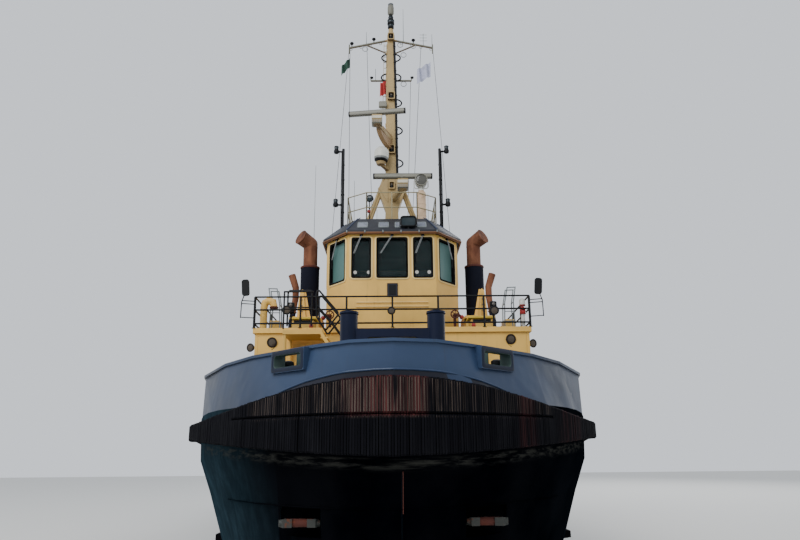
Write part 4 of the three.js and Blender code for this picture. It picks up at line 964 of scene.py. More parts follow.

# %% [markdown]
# Each chock is a rounded casting let into the plate, so that a rope bends over a soft edge. It is a band
# whose section runs round the hole. Its lip is painted dark as painted shade round the hole, and the throat
# behind it is a pale worn green.

# %% Chocks in the bow
chocks = Shape(BULWARK)
for side in BOTH:
    chocks.at = side @ put((2.0, -13.48, 4.7), math.pi / 4)
    outer, middle = rounded(1.04, 0.42, 0.05), rounded(0.95, 0.32, 0.06)
    inner, throat = rounded(0.87, 0.25, 0.06), rounded(0.86, 0.24, 0.06)
    lip = [(outer, -0.112), (middle, -0.13), (inner, -0.112), (inner, -0.09), (outer, -0.09)]
    # The lip's dark navy is painted shade round the edge of the hole.
    chocks.wear(CHOCK).band(lip)
    chocks.wear(TEAL).band([(inner, -0.116), (throat, -0.11), (inner, 0.07), (outer, 0.071)])
    for end in (-1, 1):
        cheek = [(end * x, z) for x, z in ((0.46, -0.24), (0.44, -0.24), (0.44, 0.17), (0.46, 0.17))]
        chocks.slab(cheek, 0.072, 0.17)
    chocks.slab([(-0.46, -0.24), (0.46, -0.24), (0.46, -0.2), (-0.46, -0.2)], 0.072, 0.3)
    chocks.at = side
    head = [(0.08, 3.86), (0.08, 4.64), (0.12, 4.67), (0.12, 4.74), (0.07, 4.77), (0.0, 4.775)]
    chocks.wear(BLACK).turned(head, (2.15, -12.9, 0), sides=20)
    chocks.wear(TEAL).block((1.68, -12.95, 3.862), (1.98, -12.62, 4.94), 0.02)
chocks.piece("bow_chocks", "bulwark_paint")
print("chocks", len(BOTH))

# %% [markdown]
# The tow bitt is the strongest thing on deck. Its posts carry welded collars and a rope has polished them
# at the waist. The anchors lie flat in their pockets, with the crown and both flukes outward.

# %% Tow bitt fittings and anchors
bitt = Shape(NAVY)
POST_X, POST_Y = 0.935, -12.55
for side in BOTH:
    bitt.at = side
    for z in (5.815, 4.05):
        collar = [(0.19, -0.02), (0.205, -0.012), (0.212, 0.0), (0.205, 0.012), (0.19, 0.02)]
        bitt.turned(collar, (POST_X, POST_Y, z))
    waist = [(0.1915, 0), (0.1925, 0.02), (0.1925, 0.3), (0.1915, 0.32)]
    bitt.wear(WORN).turned(waist, (POST_X, POST_Y, 4.85))
    bitt.wear(NAVY).turned([(0.15, 0.0), (0.14, 0.012), (0.0, 0.014)], (POST_X, POST_Y, 5.861))
bitt.piece("tow_bitt_collars", "navy_paint")

PALM = [(0.14, -0.2, 0.075), (0.3, -0.22, 0.075), (0.4, -0.12, 0.06), (0.36, 0.02, 0.045), (0.16, 0.22, 0.02)]
PALM += [(0.11, 0.0, 0.06)]
for name, side in SIDES:
    anchor = Shape(ANCHOR, side @ put((1.75, -13.3, 1.68)))
    anchor.wear(RUSTY).rod((-0.3, -0.1, 0), (0.3, -0.1, 0), 0.075, 14)
    anchor.wear(ANCHOR)
    for end in (-1, 1):
        anchor.skin([[(end * x, y, face * h) for x, y, h in PALM] for face in (-1, 1)])
        anchor.rod((end * 0.26, -0.13, 0), (end * 0.38, -0.13, 0), 0.085, 12, 0.06)
    anchor.block((-0.07, -0.1, -0.055), (0.07, 0.29, 0.055), 0.02)
    anchor.piece(f"{name}_anchor", "anchor_steel", replaces=(f"anchor_{name}",))
print("bitt collars and anchors fitted")

# %% [markdown]
# Railings are pipe. The frame has them six-sided, so round pipe with bent corners is laid on the same
# lines. One function sets posts and rails along a path, and three short tables name the paths.


# %% Railings
def fence(shape, path, base, heights, spacing, rail=0.026, post=0.03):
    for start, end in zip(path, path[1:]):
        a, b = Vector(start), Vector(end)
        bays = max(1, round((b - a).length / spacing))
        for j in range(bays + 1):
            p = a.lerp(b, j / bays)
            shape.rod((p.x, p.y, base), (p.x, p.y, base + heights[-1]), post, 12)
            shape.turned([(0.06, 0), (0.06, 0.006), (0.034, 0.014)], (p.x, p.y, base), sides=12)
    for height in heights:
        shape.pipe([(x, y, base + height) for x, y in path], rail, 12)


DECK = 6.4603  # height of the bridge deck, where the rails of the deckhouse stand
ROOF_TOP = 10.7203
RAIL_HEIGHTS = (0.13, 0.54, 0.93)
FRONT_RAIL = [(-4.07, -7.3), (4.07, -7.3)]
SIDE_RAIL = [(4.07, -7.2337), (4.07, 3.48), (2.67, 3.48)]
front_rail = Shape(BLACK)
fence(front_rail, FRONT_RAIL, DECK, RAIL_HEIGHTS, 1.36)
front_rail.piece("front_railing", "black_paint", replaces=("bridge_rail_front",))
for name, side in SIDES:
    side_rail = Shape(BLACK, side)
    fence(side_rail, SIDE_RAIL, DECK, RAIL_HEIGHTS, 1.4)
    side_rail.piece(f"{name}_railing", "black_paint", replaces=(f"bridge_rail_{name}",))
ROOF_PATH = [(1.1, -1.05), (1.59, -1.3), (1.59, -3.85), (0.895, -4.38)]
roof_path = ROOF_PATH + [(-x, y) for x, y in ROOF_PATH[::-1]]
roof_rail = Shape(RAIL_DULL)
fence(roof_rail, roof_path, ROOF_TOP, (0.56, 1.12), 0.9, 0.02, 0.022)
roof_rail.piece("roof_railing", "mast_paint", replaces=("roof_rail",))
print("rails laid along", len(roof_path) + len(SIDE_RAIL) * 2 + 2, "corners")

# %% [markdown]
# Under the fender the plates meet in welded seams. A seam is a shallow bead that follows the plates, so the
# hull's side is worked out between its outlines at the belt and at the waterline.

# %% Welded seams of the bow
HULL_LEVELS = [  # height, half-breadth, y of the stem, entry and fullness
    (0.0, 4.93, -13.7, 10.0, 1.75),
    (2.85, 4.99, -14.64, 6.6, 1.7),
]
STEPS = 12


def level_points(level):
    half, bow, entry, fullness = level[1:]
    angles = [math.pi / 2 * i / STEPS for i in range(STEPS + 1)]
    power = 2 / fullness
    return [(half * math.sin(a) ** power, bow + entry * (1 - math.cos(a) ** power)) for a in angles]


def on_hull(x, z, proud=0.0):
    """A point on the hull's side between the waterline and the belt."""
    share = z / HULL_LEVELS[1][0]
    rows = [level_points(level) for level in HULL_LEVELS]
    line = [(a + (c - a) * share, b + (d - b) * share) for (a, b), (c, d) in zip(*rows)]
    return Vector((x, reading(line, abs(x)) - proud, z))


seams = Shape(HULL_SIDE)
seams.pipe([on_hull(0.15, 0.1 + 0.25 * i, 0.002) for i in range(11)], 0.011, 6)
seams.pipe([on_hull(-3.6 + 0.15 * i, 1.98, 0.002) for i in range(49)], 0.012, 6)
seams.wear(RUSTY)
seams.pipe([on_hull(0.17, 1.9 + 0.08 * i, 0.008) for i in range(10)], 0.009, 6)
seams.piece("hull_seams", "hull_paint")
print("seams end at", [round(v, 2) for v in on_hull(3.6, 1.98)])

# %% [markdown]
# A ship's window is a pane in a black rubber gasket, inside a bolted frame with round corners. The walls
# come with square holes, so each hole gets a pale frame that laps over it and a gasket inside the frame.
# Both are bands, which means outlines at several depths that are skinned into a closed loop.


# %% Window frames, gaskets and wipers
FACES = [(-1.45, -5.43), (1.45, -5.43), (2.25, -4.4), (2.25, -1.3), (1.5, -0.6), (0.6, -0.6)]
PANES = [  # face, how far the sill is lowered, and the shares of the face where each pane starts and ends
    (0, 0.0, ((0.032, 0.262), (0.318, 0.682), (0.738, 0.968))),
    (1, 0.05, ((0.12, 0.86),)),
    (2, 0.05, ((0.05, 0.32), (0.37, 0.63), (0.68, 0.95))),
    (3, 0.05, ((0.15, 0.85),)),
    (4, 0.05, ((0.12, 0.9),)),
]
SILL, HEAD = 8.42, 9.83


def on_face(face, share, z):
    """A frame of axes on a wheelhouse wall: X along the wall, Z up, and -Y outward."""
    a, b = Vector((*FACES[face], 0)), Vector((*FACES[face + 1], 0))
    place = a.lerp(b, share)
    ahead = (b - a).normalized()
    turn = Matrix((ahead, Vector((-ahead.y, ahead.x, 0)), Z)).transposed().to_4x4()
    return put((place.x, place.y, z)) @ turn, (b - a).length


def window(frames, seals, width, height):
    hole = rounded(width - 0.004, height - 0.004, 0.07, 5)
    lap = rounded(width + 0.1, height + 0.1, 0.13, 5)
    lip = rounded(width + 0.075, height + 0.075, 0.12, 5)
    frames.band([(lap, 0.004), (lap, -0.014), (lip, -0.024), (hole, -0.024), (hole, 0.03)])
    inside = rounded(width - 0.13, height - 0.13, 0.1, 5)
    bead = rounded(width - 0.07, height - 0.07, 0.1, 5)
    outside = rounded(width - 0.005, height - 0.005, 0.075, 5)
    seals.band([(outside, -0.026), (bead, -0.034), (inside, -0.012), (inside, 0.085), (outside, 0.085)])


def wiper(shape, width, height, lean):
    """A pantograph wiper: a motor box above the pane, two arms and a blade."""
    top = height / 2 + 0.05
    shape.block((-0.05, -0.075, top - 0.02), (0.05, -0.02, top + 0.05), 0.012)
    foot = Vector((lean * width * 0.36, -0.05, height * 0.1))
    shape.wear(ZINC)
    for shift in (-0.018, 0.018):
        shape.rod((shift, -0.06, top), foot + X * shift, 0.009, 6)
    shape.wear(BLACK).rod(foot + Vector((-0.02, 0.005, 0.28)), foot + Vector((0.01, 0.005, -0.3)), 0.011, 6)


frames, seals, wipers = Shape(CREAM_PALE), Shape(GASKET), Shape(BLACK)
for face, lowered, panes in PANES:
    for start, end in panes:
        sill = SILL - lowered
        place, length = on_face(face, (start + end) / 2, (HEAD + sill) / 2)
        width, height = length * (end - start), HEAD - sill
        for side in BOTH if face else BOTH[:1]:
            for shape in (frames, seals, wipers):
                shape.at = side @ place
            window(frames, seals, width, height)
            if face < 2:
                wiper(wipers, width, height, 0.8 if face else -1)
frames.piece("window_frames", "cream_paint")
seals.piece("window_gaskets", "black_paint")
wipers.piece("window_wipers", "black_paint")
print("window walls", len(PANES))

# %% [markdown]
# Inside, the helm has a wheel, screens and lamps, and a chair behind it. They are seen only as dim
# shapes through dark glass, which is enough to make the room read as a room.

# %% Helm
helm = Shape(GREY)
for x in (-0.85, -0.4, 0.4, 0.85):
    helm.at = put((x, -4.98, 8.42), 0.25, "X")
    helm.wear(BLACK).block((-0.19, -0.02, -0.12), (0.19, 0.02, 0.15), 0.01)
    helm.wear(SCREEN).block((-0.17, 0.021, -0.1), (0.17, 0.026, 0.13), 0.003)
helm.at = put((0, -4.3, 8.3))
helm.wear(BLACK).pipe(arc(ORIGIN, 0.2, X, Z, 24), 0.014, 8)
for a in (0.5, 2.6, 4.71):
    helm.rod(ORIGIN, (0.2 * math.cos(a), 0, 0.2 * math.sin(a)), 0.01, 6)
helm.rod((0, -0.25, -0.05), (0, 0.02, 0), 0.03, 10)
helm.at = Matrix()
for x in (-1.23, -0.78, 0.82, 1.23):
    bulb = [(0.0, 0), (0.05, 0.01), (0.06, 0.05), (0.03, 0.06)]
    helm.wear(LENS_WHITE).turned(bulb, (x, -5.2, 8.68), (0, -1, -0.15), 14)
    helm.wear(BLACK).rod((x, -5.1, 8.3), (x, -5.14, 8.68), 0.012, 6)
helm.wear(SEAT).at = put((0, -3.4, 7.86), -0.06, "X")
helm.block((-0.25, -0.24, 0.125), (0.25, 0.2, 0.2), 0.04)
helm.block((-0.23, 0.2, 0.16), (0.23, 0.235, 0.82), 0.03)
helm.block((-0.14, 0.2, 0.86), (0.14, 0.25, 1.06), 0.04)
helm.piece("helm_fittings", "grey_paint")
print("helm fitted")

# %% [markdown]
# The roof is a shallow hipped box with a gutter round its eave, skylights in its front slope and grab rails
# over it. Things that stand on a slope are placed by a frame of axes that lies in the slope.

# %% Wheelhouse roof fittings
EAVE_LINE = [(1.53, -5.58), (2.4, -4.46), (2.4, -1.24), (1.56, -0.45)]
CROWN_LINE = [(1.19, -4.75), (1.62, -4.15), (1.62, -1.45), (1.15, -0.9)]
EAVE = EAVE_LINE + [(-x, y) for x, y in EAVE_LINE[::-1]] + EAVE_LINE[:1]
gutter = Shape(GUTTER)
gutter.pipe([(x, y, 9.955) for x, y in EAVE], 0.026, 8)
gutter.pipe([(x * 0.985, y + (0.03 if y < -3 else -0.03), 9.925) for x, y in EAVE], 0.024, 8)
for x in (-1.5, -0.9, -0.3, 0.3, 0.9, 1.5):
    gutter.wear(GREY).block((x - 0.02, -5.63, 9.94), (x + 0.02, -5.56, 10.03), 0.006)
gutter.wear(ROOF_TRIM)
for sign in (1, -1):
    for (x0, y0), (x1, y1) in zip(EAVE_LINE, CROWN_LINE):
        gutter.rod((sign * x0 * 0.985, y0, 10.06), (sign * x1, y1, 10.724), 0.018, 8)
    gutter.pipe([(sign * x, y, 10.8) for x, y in ((1.1, -4.62), (1.5, -4.05), (1.5, -3.0))], 0.014, 8)
gutter.piece("roof_trim", "roof_paint")

SLOPE = math.atan2(10.72 - 10.05, 5.58 - 4.75)
on_slope = put((0, -5.165, 10.392), SLOPE - math.pi / 2, "X")
roof_glass = Shape(ROOF_TRIM)
for x in (-0.99, -0.28, 0.27, 0.99):
    roof_glass.at = on_slope @ put((x, 0, -0.09))
    foot, top, opening = rounded(0.36, 0.5, 0.05), rounded(0.34, 0.48, 0.05), rounded(0.29, 0.42, 0.04)
    roof_glass.wear(GREY).band([(foot, 0.01), (top, -0.02), (opening, -0.02), (opening, 0.01)])
    # The pale glass is a painted reflection of the sky.
    roof_glass.wear(ROOF_LIGHT).slab(rounded(0.3, 0.43, 0.04), -0.012, 0.004)
roof_glass.piece("roof_skylights", "window_glass")
print("slope of the roof's front", round(math.degrees(SLOPE)), "degrees")

# %% [markdown]
# A floodlight is a dished body with a rim, a glass and a yoke, and the same one is fitted in many sizes, so
# a function turns it round its own aim. The big lamp on the roof's front is a rounded box, and the poles
# beside the wheelhouse carry two drum lamps each.


# %% Floodlights
def round_lamp(shape, place, aim, radius, shell, lens, bracket):
    """A floodlight: a dished body, a rim, a glass and the yoke that holds it."""
    shape.at = Matrix()
    shape.wear(shell)
    body = [(0.0, -1.1), (0.35, -1.1), (0.6, -0.9), (0.95, -0.3), (1.0, 0.0), (1.08, 0.02), (1.08, 0.14)]
    body += [(0.96, 0.18), (0.8, 0.18), (0.74, 0.08), (0.0, 0.05)]
    glass = [(0.0, 0.05), (0.76, 0.05), (0.76, 0.08), (0.5, 0.13), (0.0, 0.16)]
    for profile, finish in ((body, shell), (glass, lens)):
        shape.wear(finish).turned([(r * radius, h * radius) for r, h in profile], place, aim, 24)
    shape.wear(shell)
    turn = around(aim)
    for end in (-1, 1):
        ear = Vector(place) + turn @ Vector((end * radius * 1.05, 0, -0.3 * radius))
        knee = ear.lerp(Vector(bracket), 0.5) + X * (end * radius * 0.3)
        shape.pipe([ear, knee, bracket], radius * 0.07, 6)


lamps = Shape(BLACK)
ROUND_LAMPS = [  # place, aim, radius, foot of the bracket, shell and glass
    ((-3.52, -7.27, 6.04), (-0.1, -1, -0.15), 0.14, (-3.52, -7.245, 5.82), LAMP_RIM, LENS),
    ((3.47, -7.27, 6.09), (0.1, -1, -0.15), 0.14, (3.47, -7.245, 5.87), LAMP_RIM, LENS),
    ((-4.2, -7.0, 5.93), (-0.5, -1, -0.1), 0.12, (-4.04, -6.98, 5.93), LAMP_RIM, LENS),
    ((4.17, -7.0, 6.0), (0.5, -1, -0.1), 0.12, (4.04, -6.98, 6.0), LAMP_RIM, LENS),
    ((-3.1, -7.42, 6.97), (0, -1, -0.1), 0.13, (-3.1, -7.33, 6.86), BLACK, LENS),
    ((-0.03, -7.42, 6.93), (0, -1, -0.1), 0.11, (-0.03, -7.33, 6.84), BLACK, LENS),
    ((3.0, -7.42, 6.92), (0, -1, -0.1), 0.13, (3.0, -7.33, 6.82), BLACK, LENS),
    ((-0.8, -3.95, 11.78), (-0.2, -1, -0.1), 0.13, (-0.8, -4.1, 11.3), BLACK, SCREEN),
]
for place, aim, radius, bracket, shell, lens in ROUND_LAMPS:
    round_lamp(lamps, place, aim, radius, shell, lens, bracket)
lamps.wear(RED).turned([(0.03, 0), (0.06, 0.02), (0.06, 0.09), (0.0, 0.12)], (-0.82, -4.14, 11.16))
lamps.wear(BLACK).rod((-0.8, -4.1, 10.72), (-0.8, -4.1, 11.6), 0.02, 8)
print("floodlights", len(ROUND_LAMPS))

# %% Big lamp and the lamps on poles
lamps.at = put((0.55, -5.5, 10.35), -0.1, "X") @ Matrix.Scale(0.84, 4)
box = [((0.62, 0.42, 0.12), 0.12), ((0.66, 0.46, 0.14), -0.08), ((0.58, 0.38, 0.1), -0.09)]
box += [((0.54, 0.34, 0.1), -0.04), ((0.4, 0.2, 0.08), 0.12)]
lamps.band([(rounded(*size, 5), y) for size, y in box])
lamps.wear(SCREEN).slab(rounded(0.55, 0.35, 0.1, 5), -0.045, -0.02)
lamps.wear(BLACK).slab(rounded(0.42, 0.22, 0.08, 5), 0.1, 0.16)
for x in (-0.34, 0.34):
    lamps.pipe([(x, 0.02, 0.0), (x, 0.02, -0.2), (x * 0.3, 0.02, -0.28)], 0.016, 8)
lamps.rod((0, 0.04, -0.33), (0, 0.04, -0.24), 0.06, 10)

DRUM_LAMP = [  # finish and profile
    (BLACK, [(0.05, -0.16), (0.09, -0.14), (0.1, -0.1), (0.1, -0.03), (0.075, -0.02), (0.075, 0.0)]),
    (SCREEN, [(0.07, 0), (0.085, 0.01), (0.085, 0.1), (0.07, 0.11)]),
    (BLACK, [(0.09, 0.11), (0.095, 0.12), (0.06, 0.15), (0.0, 0.16)]),
]
for side in BOTH:
    lamps.at = side
    for z in (14.03, 11.88):
        for finish, profile in DRUM_LAMP:
            lamps.wear(finish).turned(profile, (2.095, -3.25, z))
    for z in (11.0, 11.5, 12.2, 12.8, 13.4):
        lamps.hoop((1.83, -3.25, z), 0.055, 0.066, 0.03, 0.02, sides=12)
    lamps.pipe([(1.89, -3.27, 10.6), (1.9, -3.27, 12.0), (1.89, -3.27, 13.9)], 0.014, 6)
lamps.piece("lamps", "black_paint")
print("lamps", len(ROUND_LAMPS) + 5)

# %% [markdown]
# The exhaust pipes are lagged and painted below the joint and bare above it. Each has a rusty collar at the
# joint, a weld at its bend and a rolled lip at its mouth. A thinner generator pipe leans against each.

# %% Exhaust fittings
COLLAR = [(0.33, 9.31), (0.35, 9.32), (0.354, 9.34), (0.35, 9.375), (0.34, 9.385), (0.26, 9.39)]
FLANGE = [(0.33, 7.46), (0.42, 7.46), (0.42, 7.485), (0.345, 7.5), (0.336, 7.56)]
BEND_Z, MOUTH_AIM = 10.25, Vector((0.69, -0.6, 0.4))
for name, side in SIDES:
    funnel = Shape(RUSTY, side @ put((2.97, -3.3, 0)))
    funnel.turned(COLLAR)
    funnel.wear(NAVY).turned(FLANGE)
    for place in arc((0, 0, 7.485), 0.385, X, Y, 8, math.pi / 8)[1:]:
        funnel.bolt(place, Z, 0.018, 0.02, 0.024)
    funnel.wear(SCORCHED).hoop(Z * (BEND_Z - 0.13), 0.255, 0.262, 0.012, 0.006)
    lip = Z * BEND_Z + MOUTH_AIM.normalized() * 0.48
    rolled = [(0.258, -0.02), (0.283, -0.014), (0.287, 0.0), (0.283, 0.012), (0.262, 0.012)]
    funnel.turned(rolled, lip, MOUTH_AIM)
    funnel.wear(SOOT).turned([(0.0, -0.3), (0.235, -0.3), (0.235, -0.29), (0.0, -0.28)], lip, MOUTH_AIM)
    funnel.piece(f"{name}_exhaust_collars", "exhaust_rust")

    thin = Shape(NAVY, side)
    thin.pipe(upright([(3.45, 6.4), (3.45, 7.2), (3.4, 7.55)], -4.2), 0.1, 14)
    leaning = upright([(3.4, 7.5), (3.33, 8.05), (3.33, 8.4), (3.48, 8.86)], -4.2)
    thin.wear(PIPE_RUST).pipe(leaning, 0.11, 16, [0.09, 0.11, 0.115, 0.125])
    thin.hoop((3.4, -4.2, 7.55), 0.11, 0.13, 0.02, 0.01, (-0.13, 0, 1), 16)
    thin.wear(CREAM)
    thin.slab([(2.78, 7.3), (3.26, 7.3), (3.2, 8.05), (3.07, 8.3), (2.98, 8.3)], -4.3, -4.27, 0.006)
    thin.slab([(2.92, 7.3), (2.96, 7.3), (3.05, 8.24), (3.02, 8.24)], -4.34, -4.3)
    thin.block((2.42, -4.78, 7.19), (3.32, -4.3, 7.29), 0.012)
    thin.wear(BLACK).block((2.44, -4.79, 7.165), (3.3, -4.3, 7.19), 0.004)
    thin.piece(f"{name}_generator_pipe", "exhaust_rust")
print("funnel collars and generator pipes fitted")

# %% [markdown]
# The mast is a plate box. Cables run up its port front corner in black clips, a short ladder climbs its
# starboard side to the head, navigation lamps sit in dark niches on its front, and half hoops keep the
# halyards off. All of it is placed by height, since the column narrows with height.


# %% Cables and ladder of the mast
MAST_Y = -2.2
COLUMN = [(10.72, 0.30), (11.9, 0.24), (12.78, 0.54), (13.15, 0.245)]  # height and half breadth
COLUMN += [(15.36, 0.225), (17.8, 0.19), (19.65, 0.15)]


def mast_half(z):
    """Half the breadth of the mast's column at a height."""
    return reading(COLUMN, z)


cables = Shape(BLACK)
for shift in (-0.045, 0):
    heights = (13.2, 14.5, 16.0, 17.5, 19.3)
    cables.pipe([(mast_half(z) + shift, MAST_Y - mast_half(z) - 0.03, z) for z in heights], 0.026, 8)
for i in range(16):
    z = 13.35 + 0.38 * i
    h = mast_half(z)
    cables.block((h - 0.08, MAST_Y - h - 0.062, z), (h + 0.035, MAST_Y - h + 0.02, z + 0.035), 0.006)
for z, sides in ((13.89, (1,)), (15.3, (1,)), (16.53, (1,)), (17.69, (-1, 1)), (18.6, (-1, 1))):
    for side in sides:
        reach = side * (mast_half(z) - 0.06)
        angles = [math.radians(a) for a in range(-80, 81, 20)]
        bow = [(reach + side * 0.27 * math.cos(a), MAST_Y - 0.08, z + 0.17 * math.sin(a)) for a in angles]
        cables.pipe(bow, 0.03, 8)
cables.wear(RADAR_PALE)
for reach in (0.02, 0.13):
    cables.pipe([(-mast_half(z) - reach, MAST_Y, z) for z in (16.0, 17.6, 19.3)], 0.014, 8)
for i in range(13):
    z = 16.1 + 0.26 * i
    cables.rod((-mast_half(z), MAST_Y, z), (-mast_half(z) - 0.13, MAST_Y, z), 0.016, 8)
cables.piece("mast_cables", "black_paint")
print("the mast is", round(2 * mast_half(19.65), 2), "wide at its head")

# %% Niches, struts and steps of the mast
niches = Shape(MAST_CREAM)
NICHES = [(12.88, 0.17, 0.24), (14.4, 0.2, 0.3), (16.75, 0.22, 0.26), (19.5, 0.2, 0.24)]  # height and size
for z, width, height in NICHES:
    front = MAST_Y - mast_half(z) * (0.45 if z < 13 else 1.0)
    niches.at = put((0, front, z))
    hood, hole = rounded(width + 0.07, height + 0.07, 0.03, 3), rounded(width, height, 0.03, 3)
    niches.wear(MAST_CREAM).band([(hood, 0.05), (hood, -0.15), (hole, -0.15), (hole, 0.02)])
    niches.wear(BLACK).slab(hole, -0.02, 0.01)
    socket, bulb = [(0.055, -0.09), (0.06, -0.07), (0.06, -0.02), (0.05, 0.0)], [(0.045, 0.0), (0.05, 0.01)]
    niches.turned(socket, Y * -0.08, sides=14)
    niches.wear(LENS).turned(bulb + [(0.05, 0.06), (0.0, 0.075)], Y * -0.08, sides=14)
niches.at = Matrix()
niches.wear(MAST_CREAM)
for side in (-1, 1):
    start, end = Vector((side * 0.26, MAST_Y, 13.35)), Vector((side * 1.24, MAST_Y + 0.2, 10.75))
    niches.rod(start, end, 0.075, 16)
    for share in (0.3, 0.62, 0.94):
        niches.hoop(start.lerp(end, share), 0.075, 0.085, 0.02, 0.01, end - start, 16)
    shoulder = [(side * x, z) for x, z in ((0.15, 12.2), (0.5, 12.78), (0.15, 13.3))]
    niches.slab(shoulder, MAST_Y - 0.27, MAST_Y - 0.245)
for z in (13.5, 14.9, 15.4, 15.9, 17.2, 17.5, 17.8, 18.1, 18.4, 18.7, 19.0):
    h = mast_half(z)
    for x in (-h, h):
        niches.block((x - 0.02, MAST_Y - h - 0.012, z), (x + 0.02, MAST_Y - h + 0.04, z + 0.16), 0.006)
niches.piece("mast_niches", "mast_paint")
print("niches", len(NICHES))

# %% [markdown]
# The yards come with the mast. They get eyes for the halyards, loops, whips, stub aerials and a small
# comb aerial. At the masthead three black lamps are stacked under a grey oval housing.

# %% Yards and masthead
yards = Shape(YARD)
HEAD_Y = MAST_Y - 0.01
for z, radius, height in ((20.06, 0.13, 0.18), (20.24, 0.15, 0.2), (20.46, 0.11, 0.14)):
    STACK = [  # finish, height of the foot and profile, as shares of the lamp's size
        (BLACK, 0.0, [(1.0, 0.0), (1.0, 0.3), (0.9, 0.32)]),
        (SCREEN, 0.3, [(0.93, 0.0), (0.96, 0.02 / height), (0.93, 0.4)]),
        (BLACK, 0.7, [(1.0, 0.0), (1.0, 0.2), (0.93, 0.28)]),
    ]
    for finish, foot, profile in STACK:
        profile = [(r * radius, h * height) for r, h in profile]
        yards.wear(finish).turned(profile, (0, HEAD_Y, z + height * foot))
oval = [(0.1, 0.0), (0.135, 0.06), (0.135, 0.34), (0.1, 0.46), (0.03, 0.51)]
yards.wear(SCANNER).turned(oval, (0, HEAD_Y, 20.7), sides=20)
yards.wear(BLACK).turned([(0.05, 0.0), (0.06, 0.02), (0.06, 0.1), (0.05, 0.12)], (0, HEAD_Y, 20.58), sides=14)

YARD_FOOT = Vector((0, MAST_Y, 19.5))
for side in (-1, 1):
    tip = Vector((side * 1.73, MAST_Y, 19.12))
    yards.wear(YARD)
    for share in (0.25, 0.5, 0.72, 0.96):
        yards.pipe(arc(YARD_FOOT.lerp(tip, share) - Z * 0.08, 0.05, X, Z, 8), 0.01, 6)
    for share in (0.94, 0.41) if side < 0 else (0.54,):
        p = YARD_FOOT.lerp(tip, share)
        yards.wear(BLACK).rod(p, p + Z * 0.16, 0.02, 8)
        yards.turned([(0.02, 0.12), (0.07, 0.16), (0.085, 0.19), (0.07, 0.23), (0.0, 0.25)], p, sides=12)
    for share, height in ((0.59, 0.6),) if side < 0 else ((0.99, 0.65), (0.3, 1.6)):
        p = YARD_FOOT.lerp(tip, share)
        yards.wear(GREY).rod(p, p + Z * height, 0.016, 8, 0.008)
    low = Vector((side * 0.83, MAST_Y, 17.59))
    yards.wear(YARD).rod(low, low + Z * 0.12, 0.02, 8)
    cap = [(0.03, 0), (0.07, 0.03), (0.07, 0.07), (0.0, 0.1)]
    yards.wear(BLACK).turned(cap, low + X * 0.03 + Z * 0.1, sides=12)
yards.wear(GREY).rod((-0.64, MAST_Y, 17.6), (-0.64, MAST_Y, 18.14), 0.013, 8)
for z in (19.46, 19.6, 19.74):
    yards.rod((1.2, MAST_Y, z), (1.5, MAST_Y, z), 0.008, 6)
yards.rod((1.35, MAST_Y, 19.2), (1.35, MAST_Y, 19.8), 0.012, 8)
for x, z in ((0.51, 17.43), (-1.07, 19.06), (0.385, 19.25), (0.923, 19.2), (0.52, 18.78)):
    yards.pipe(arc((x, MAST_Y - 0.02, z), 0.11, X, Z, 16), 0.013, 8)
yards.wear(RADAR_GREY).block((-0.5, -2.62, 16.2), (-0.18, -2.42, 16.46), 0.03)
yards.piece("mast_yards", "mast_paint")
print("yards rigged")

# %% [markdown]
# A radar has a fixed gearbox and a scanner that spins on it. The gearbox is two stacked castings with a
# seam, on a bracket of folded plate, and it stays with the ship. The scanner is a long closed wave guide
# with a grey window along its front and dark caps at its ends; it rides on the radar's own body.


# %% Radars
SCANNERS = [  # name, foot of the scanner, turn
    ("upper", (-0.545, -3.56, 15.2605), math.radians(-8.0)),
    ("lower", (0.41, -3.65, 12.6005), 0.0),
]
WAVE_GUIDE = [(-0.1, 0.09), (-0.07, 0.08), (0.07, 0.08), (0.1, 0.1)]
WAVE_GUIDE += [(0.095, 0.22), (0.05, 0.28), (-0.03, 0.28), (-0.098, 0.22)]


def guide_section(along, grow):
    """The wave guide's outline at a distance from its middle, grown or shrunk about its axis."""
    return [(along, a * grow, 0.18 + (b - 0.18) * grow) for a, b in WAVE_GUIDE]


for name, foot, angle in SCANNERS:
    box = Shape(RADAR_GREY, put(Vector(foot) - Z * 0.37))
    box.block((-0.2, -0.21, 0.015), (0.2, 0.21, 0.17), 0.025)
    box.wear(BLACK).block((-0.195, -0.205, 0.17), (0.195, 0.205, 0.185), 0.004)
    box.wear(RADAR_PALE).block((-0.2, -0.21, 0.185), (0.2, 0.21, 0.345), 0.03)
    box.wear(BLACK).block((-0.18, -0.19, 0.34), (0.18, 0.19, 0.365), 0.01)
    box.wear(TAN)
    for k in range(5):
        box.block((-0.15 + 0.07 * k, -0.222, 0.05), (-0.13 + 0.07 * k, -0.2, 0.14), 0.004)
    box.piece(f"{name}_radar_gearbox", "mast_paint")

    bar = Shape(SCANNER, put(foot, angle))
    bar.turned([(0.09, 0), (0.09, 0.06), (0.12, 0.085), (0.12, 0.12)], sides=20)
    ends = ((-1.1, 0.72), (-1.09, 0.97), (-1.02, 1.0), (1.02, 1.0), (1.09, 0.97), (1.1, 0.72))
    bar.skin([guide_section(along, grow) for along, grow in ends])
    slit = [(-0.096, 0.12), (-0.105, 0.13), (-0.103, 0.2), (-0.094, 0.21)]
    bar.wear(RADAR_GREY).skin([[(along, y, z) for y, z in slit] for along in (-1.05, 1.05)])
    bar.wear(BLACK)
    for end in (-1, 1):
        cap = ((1.04, 1.012), (1.1, 0.99), (1.102, 0.75))
        bar.skin([guide_section(end * along, grow) for along, grow in cap])
    bar.piece(f"{name}_scanner", "mast_paint", body=f"{name}_radar", replaces=(f"scanner_{name}",))

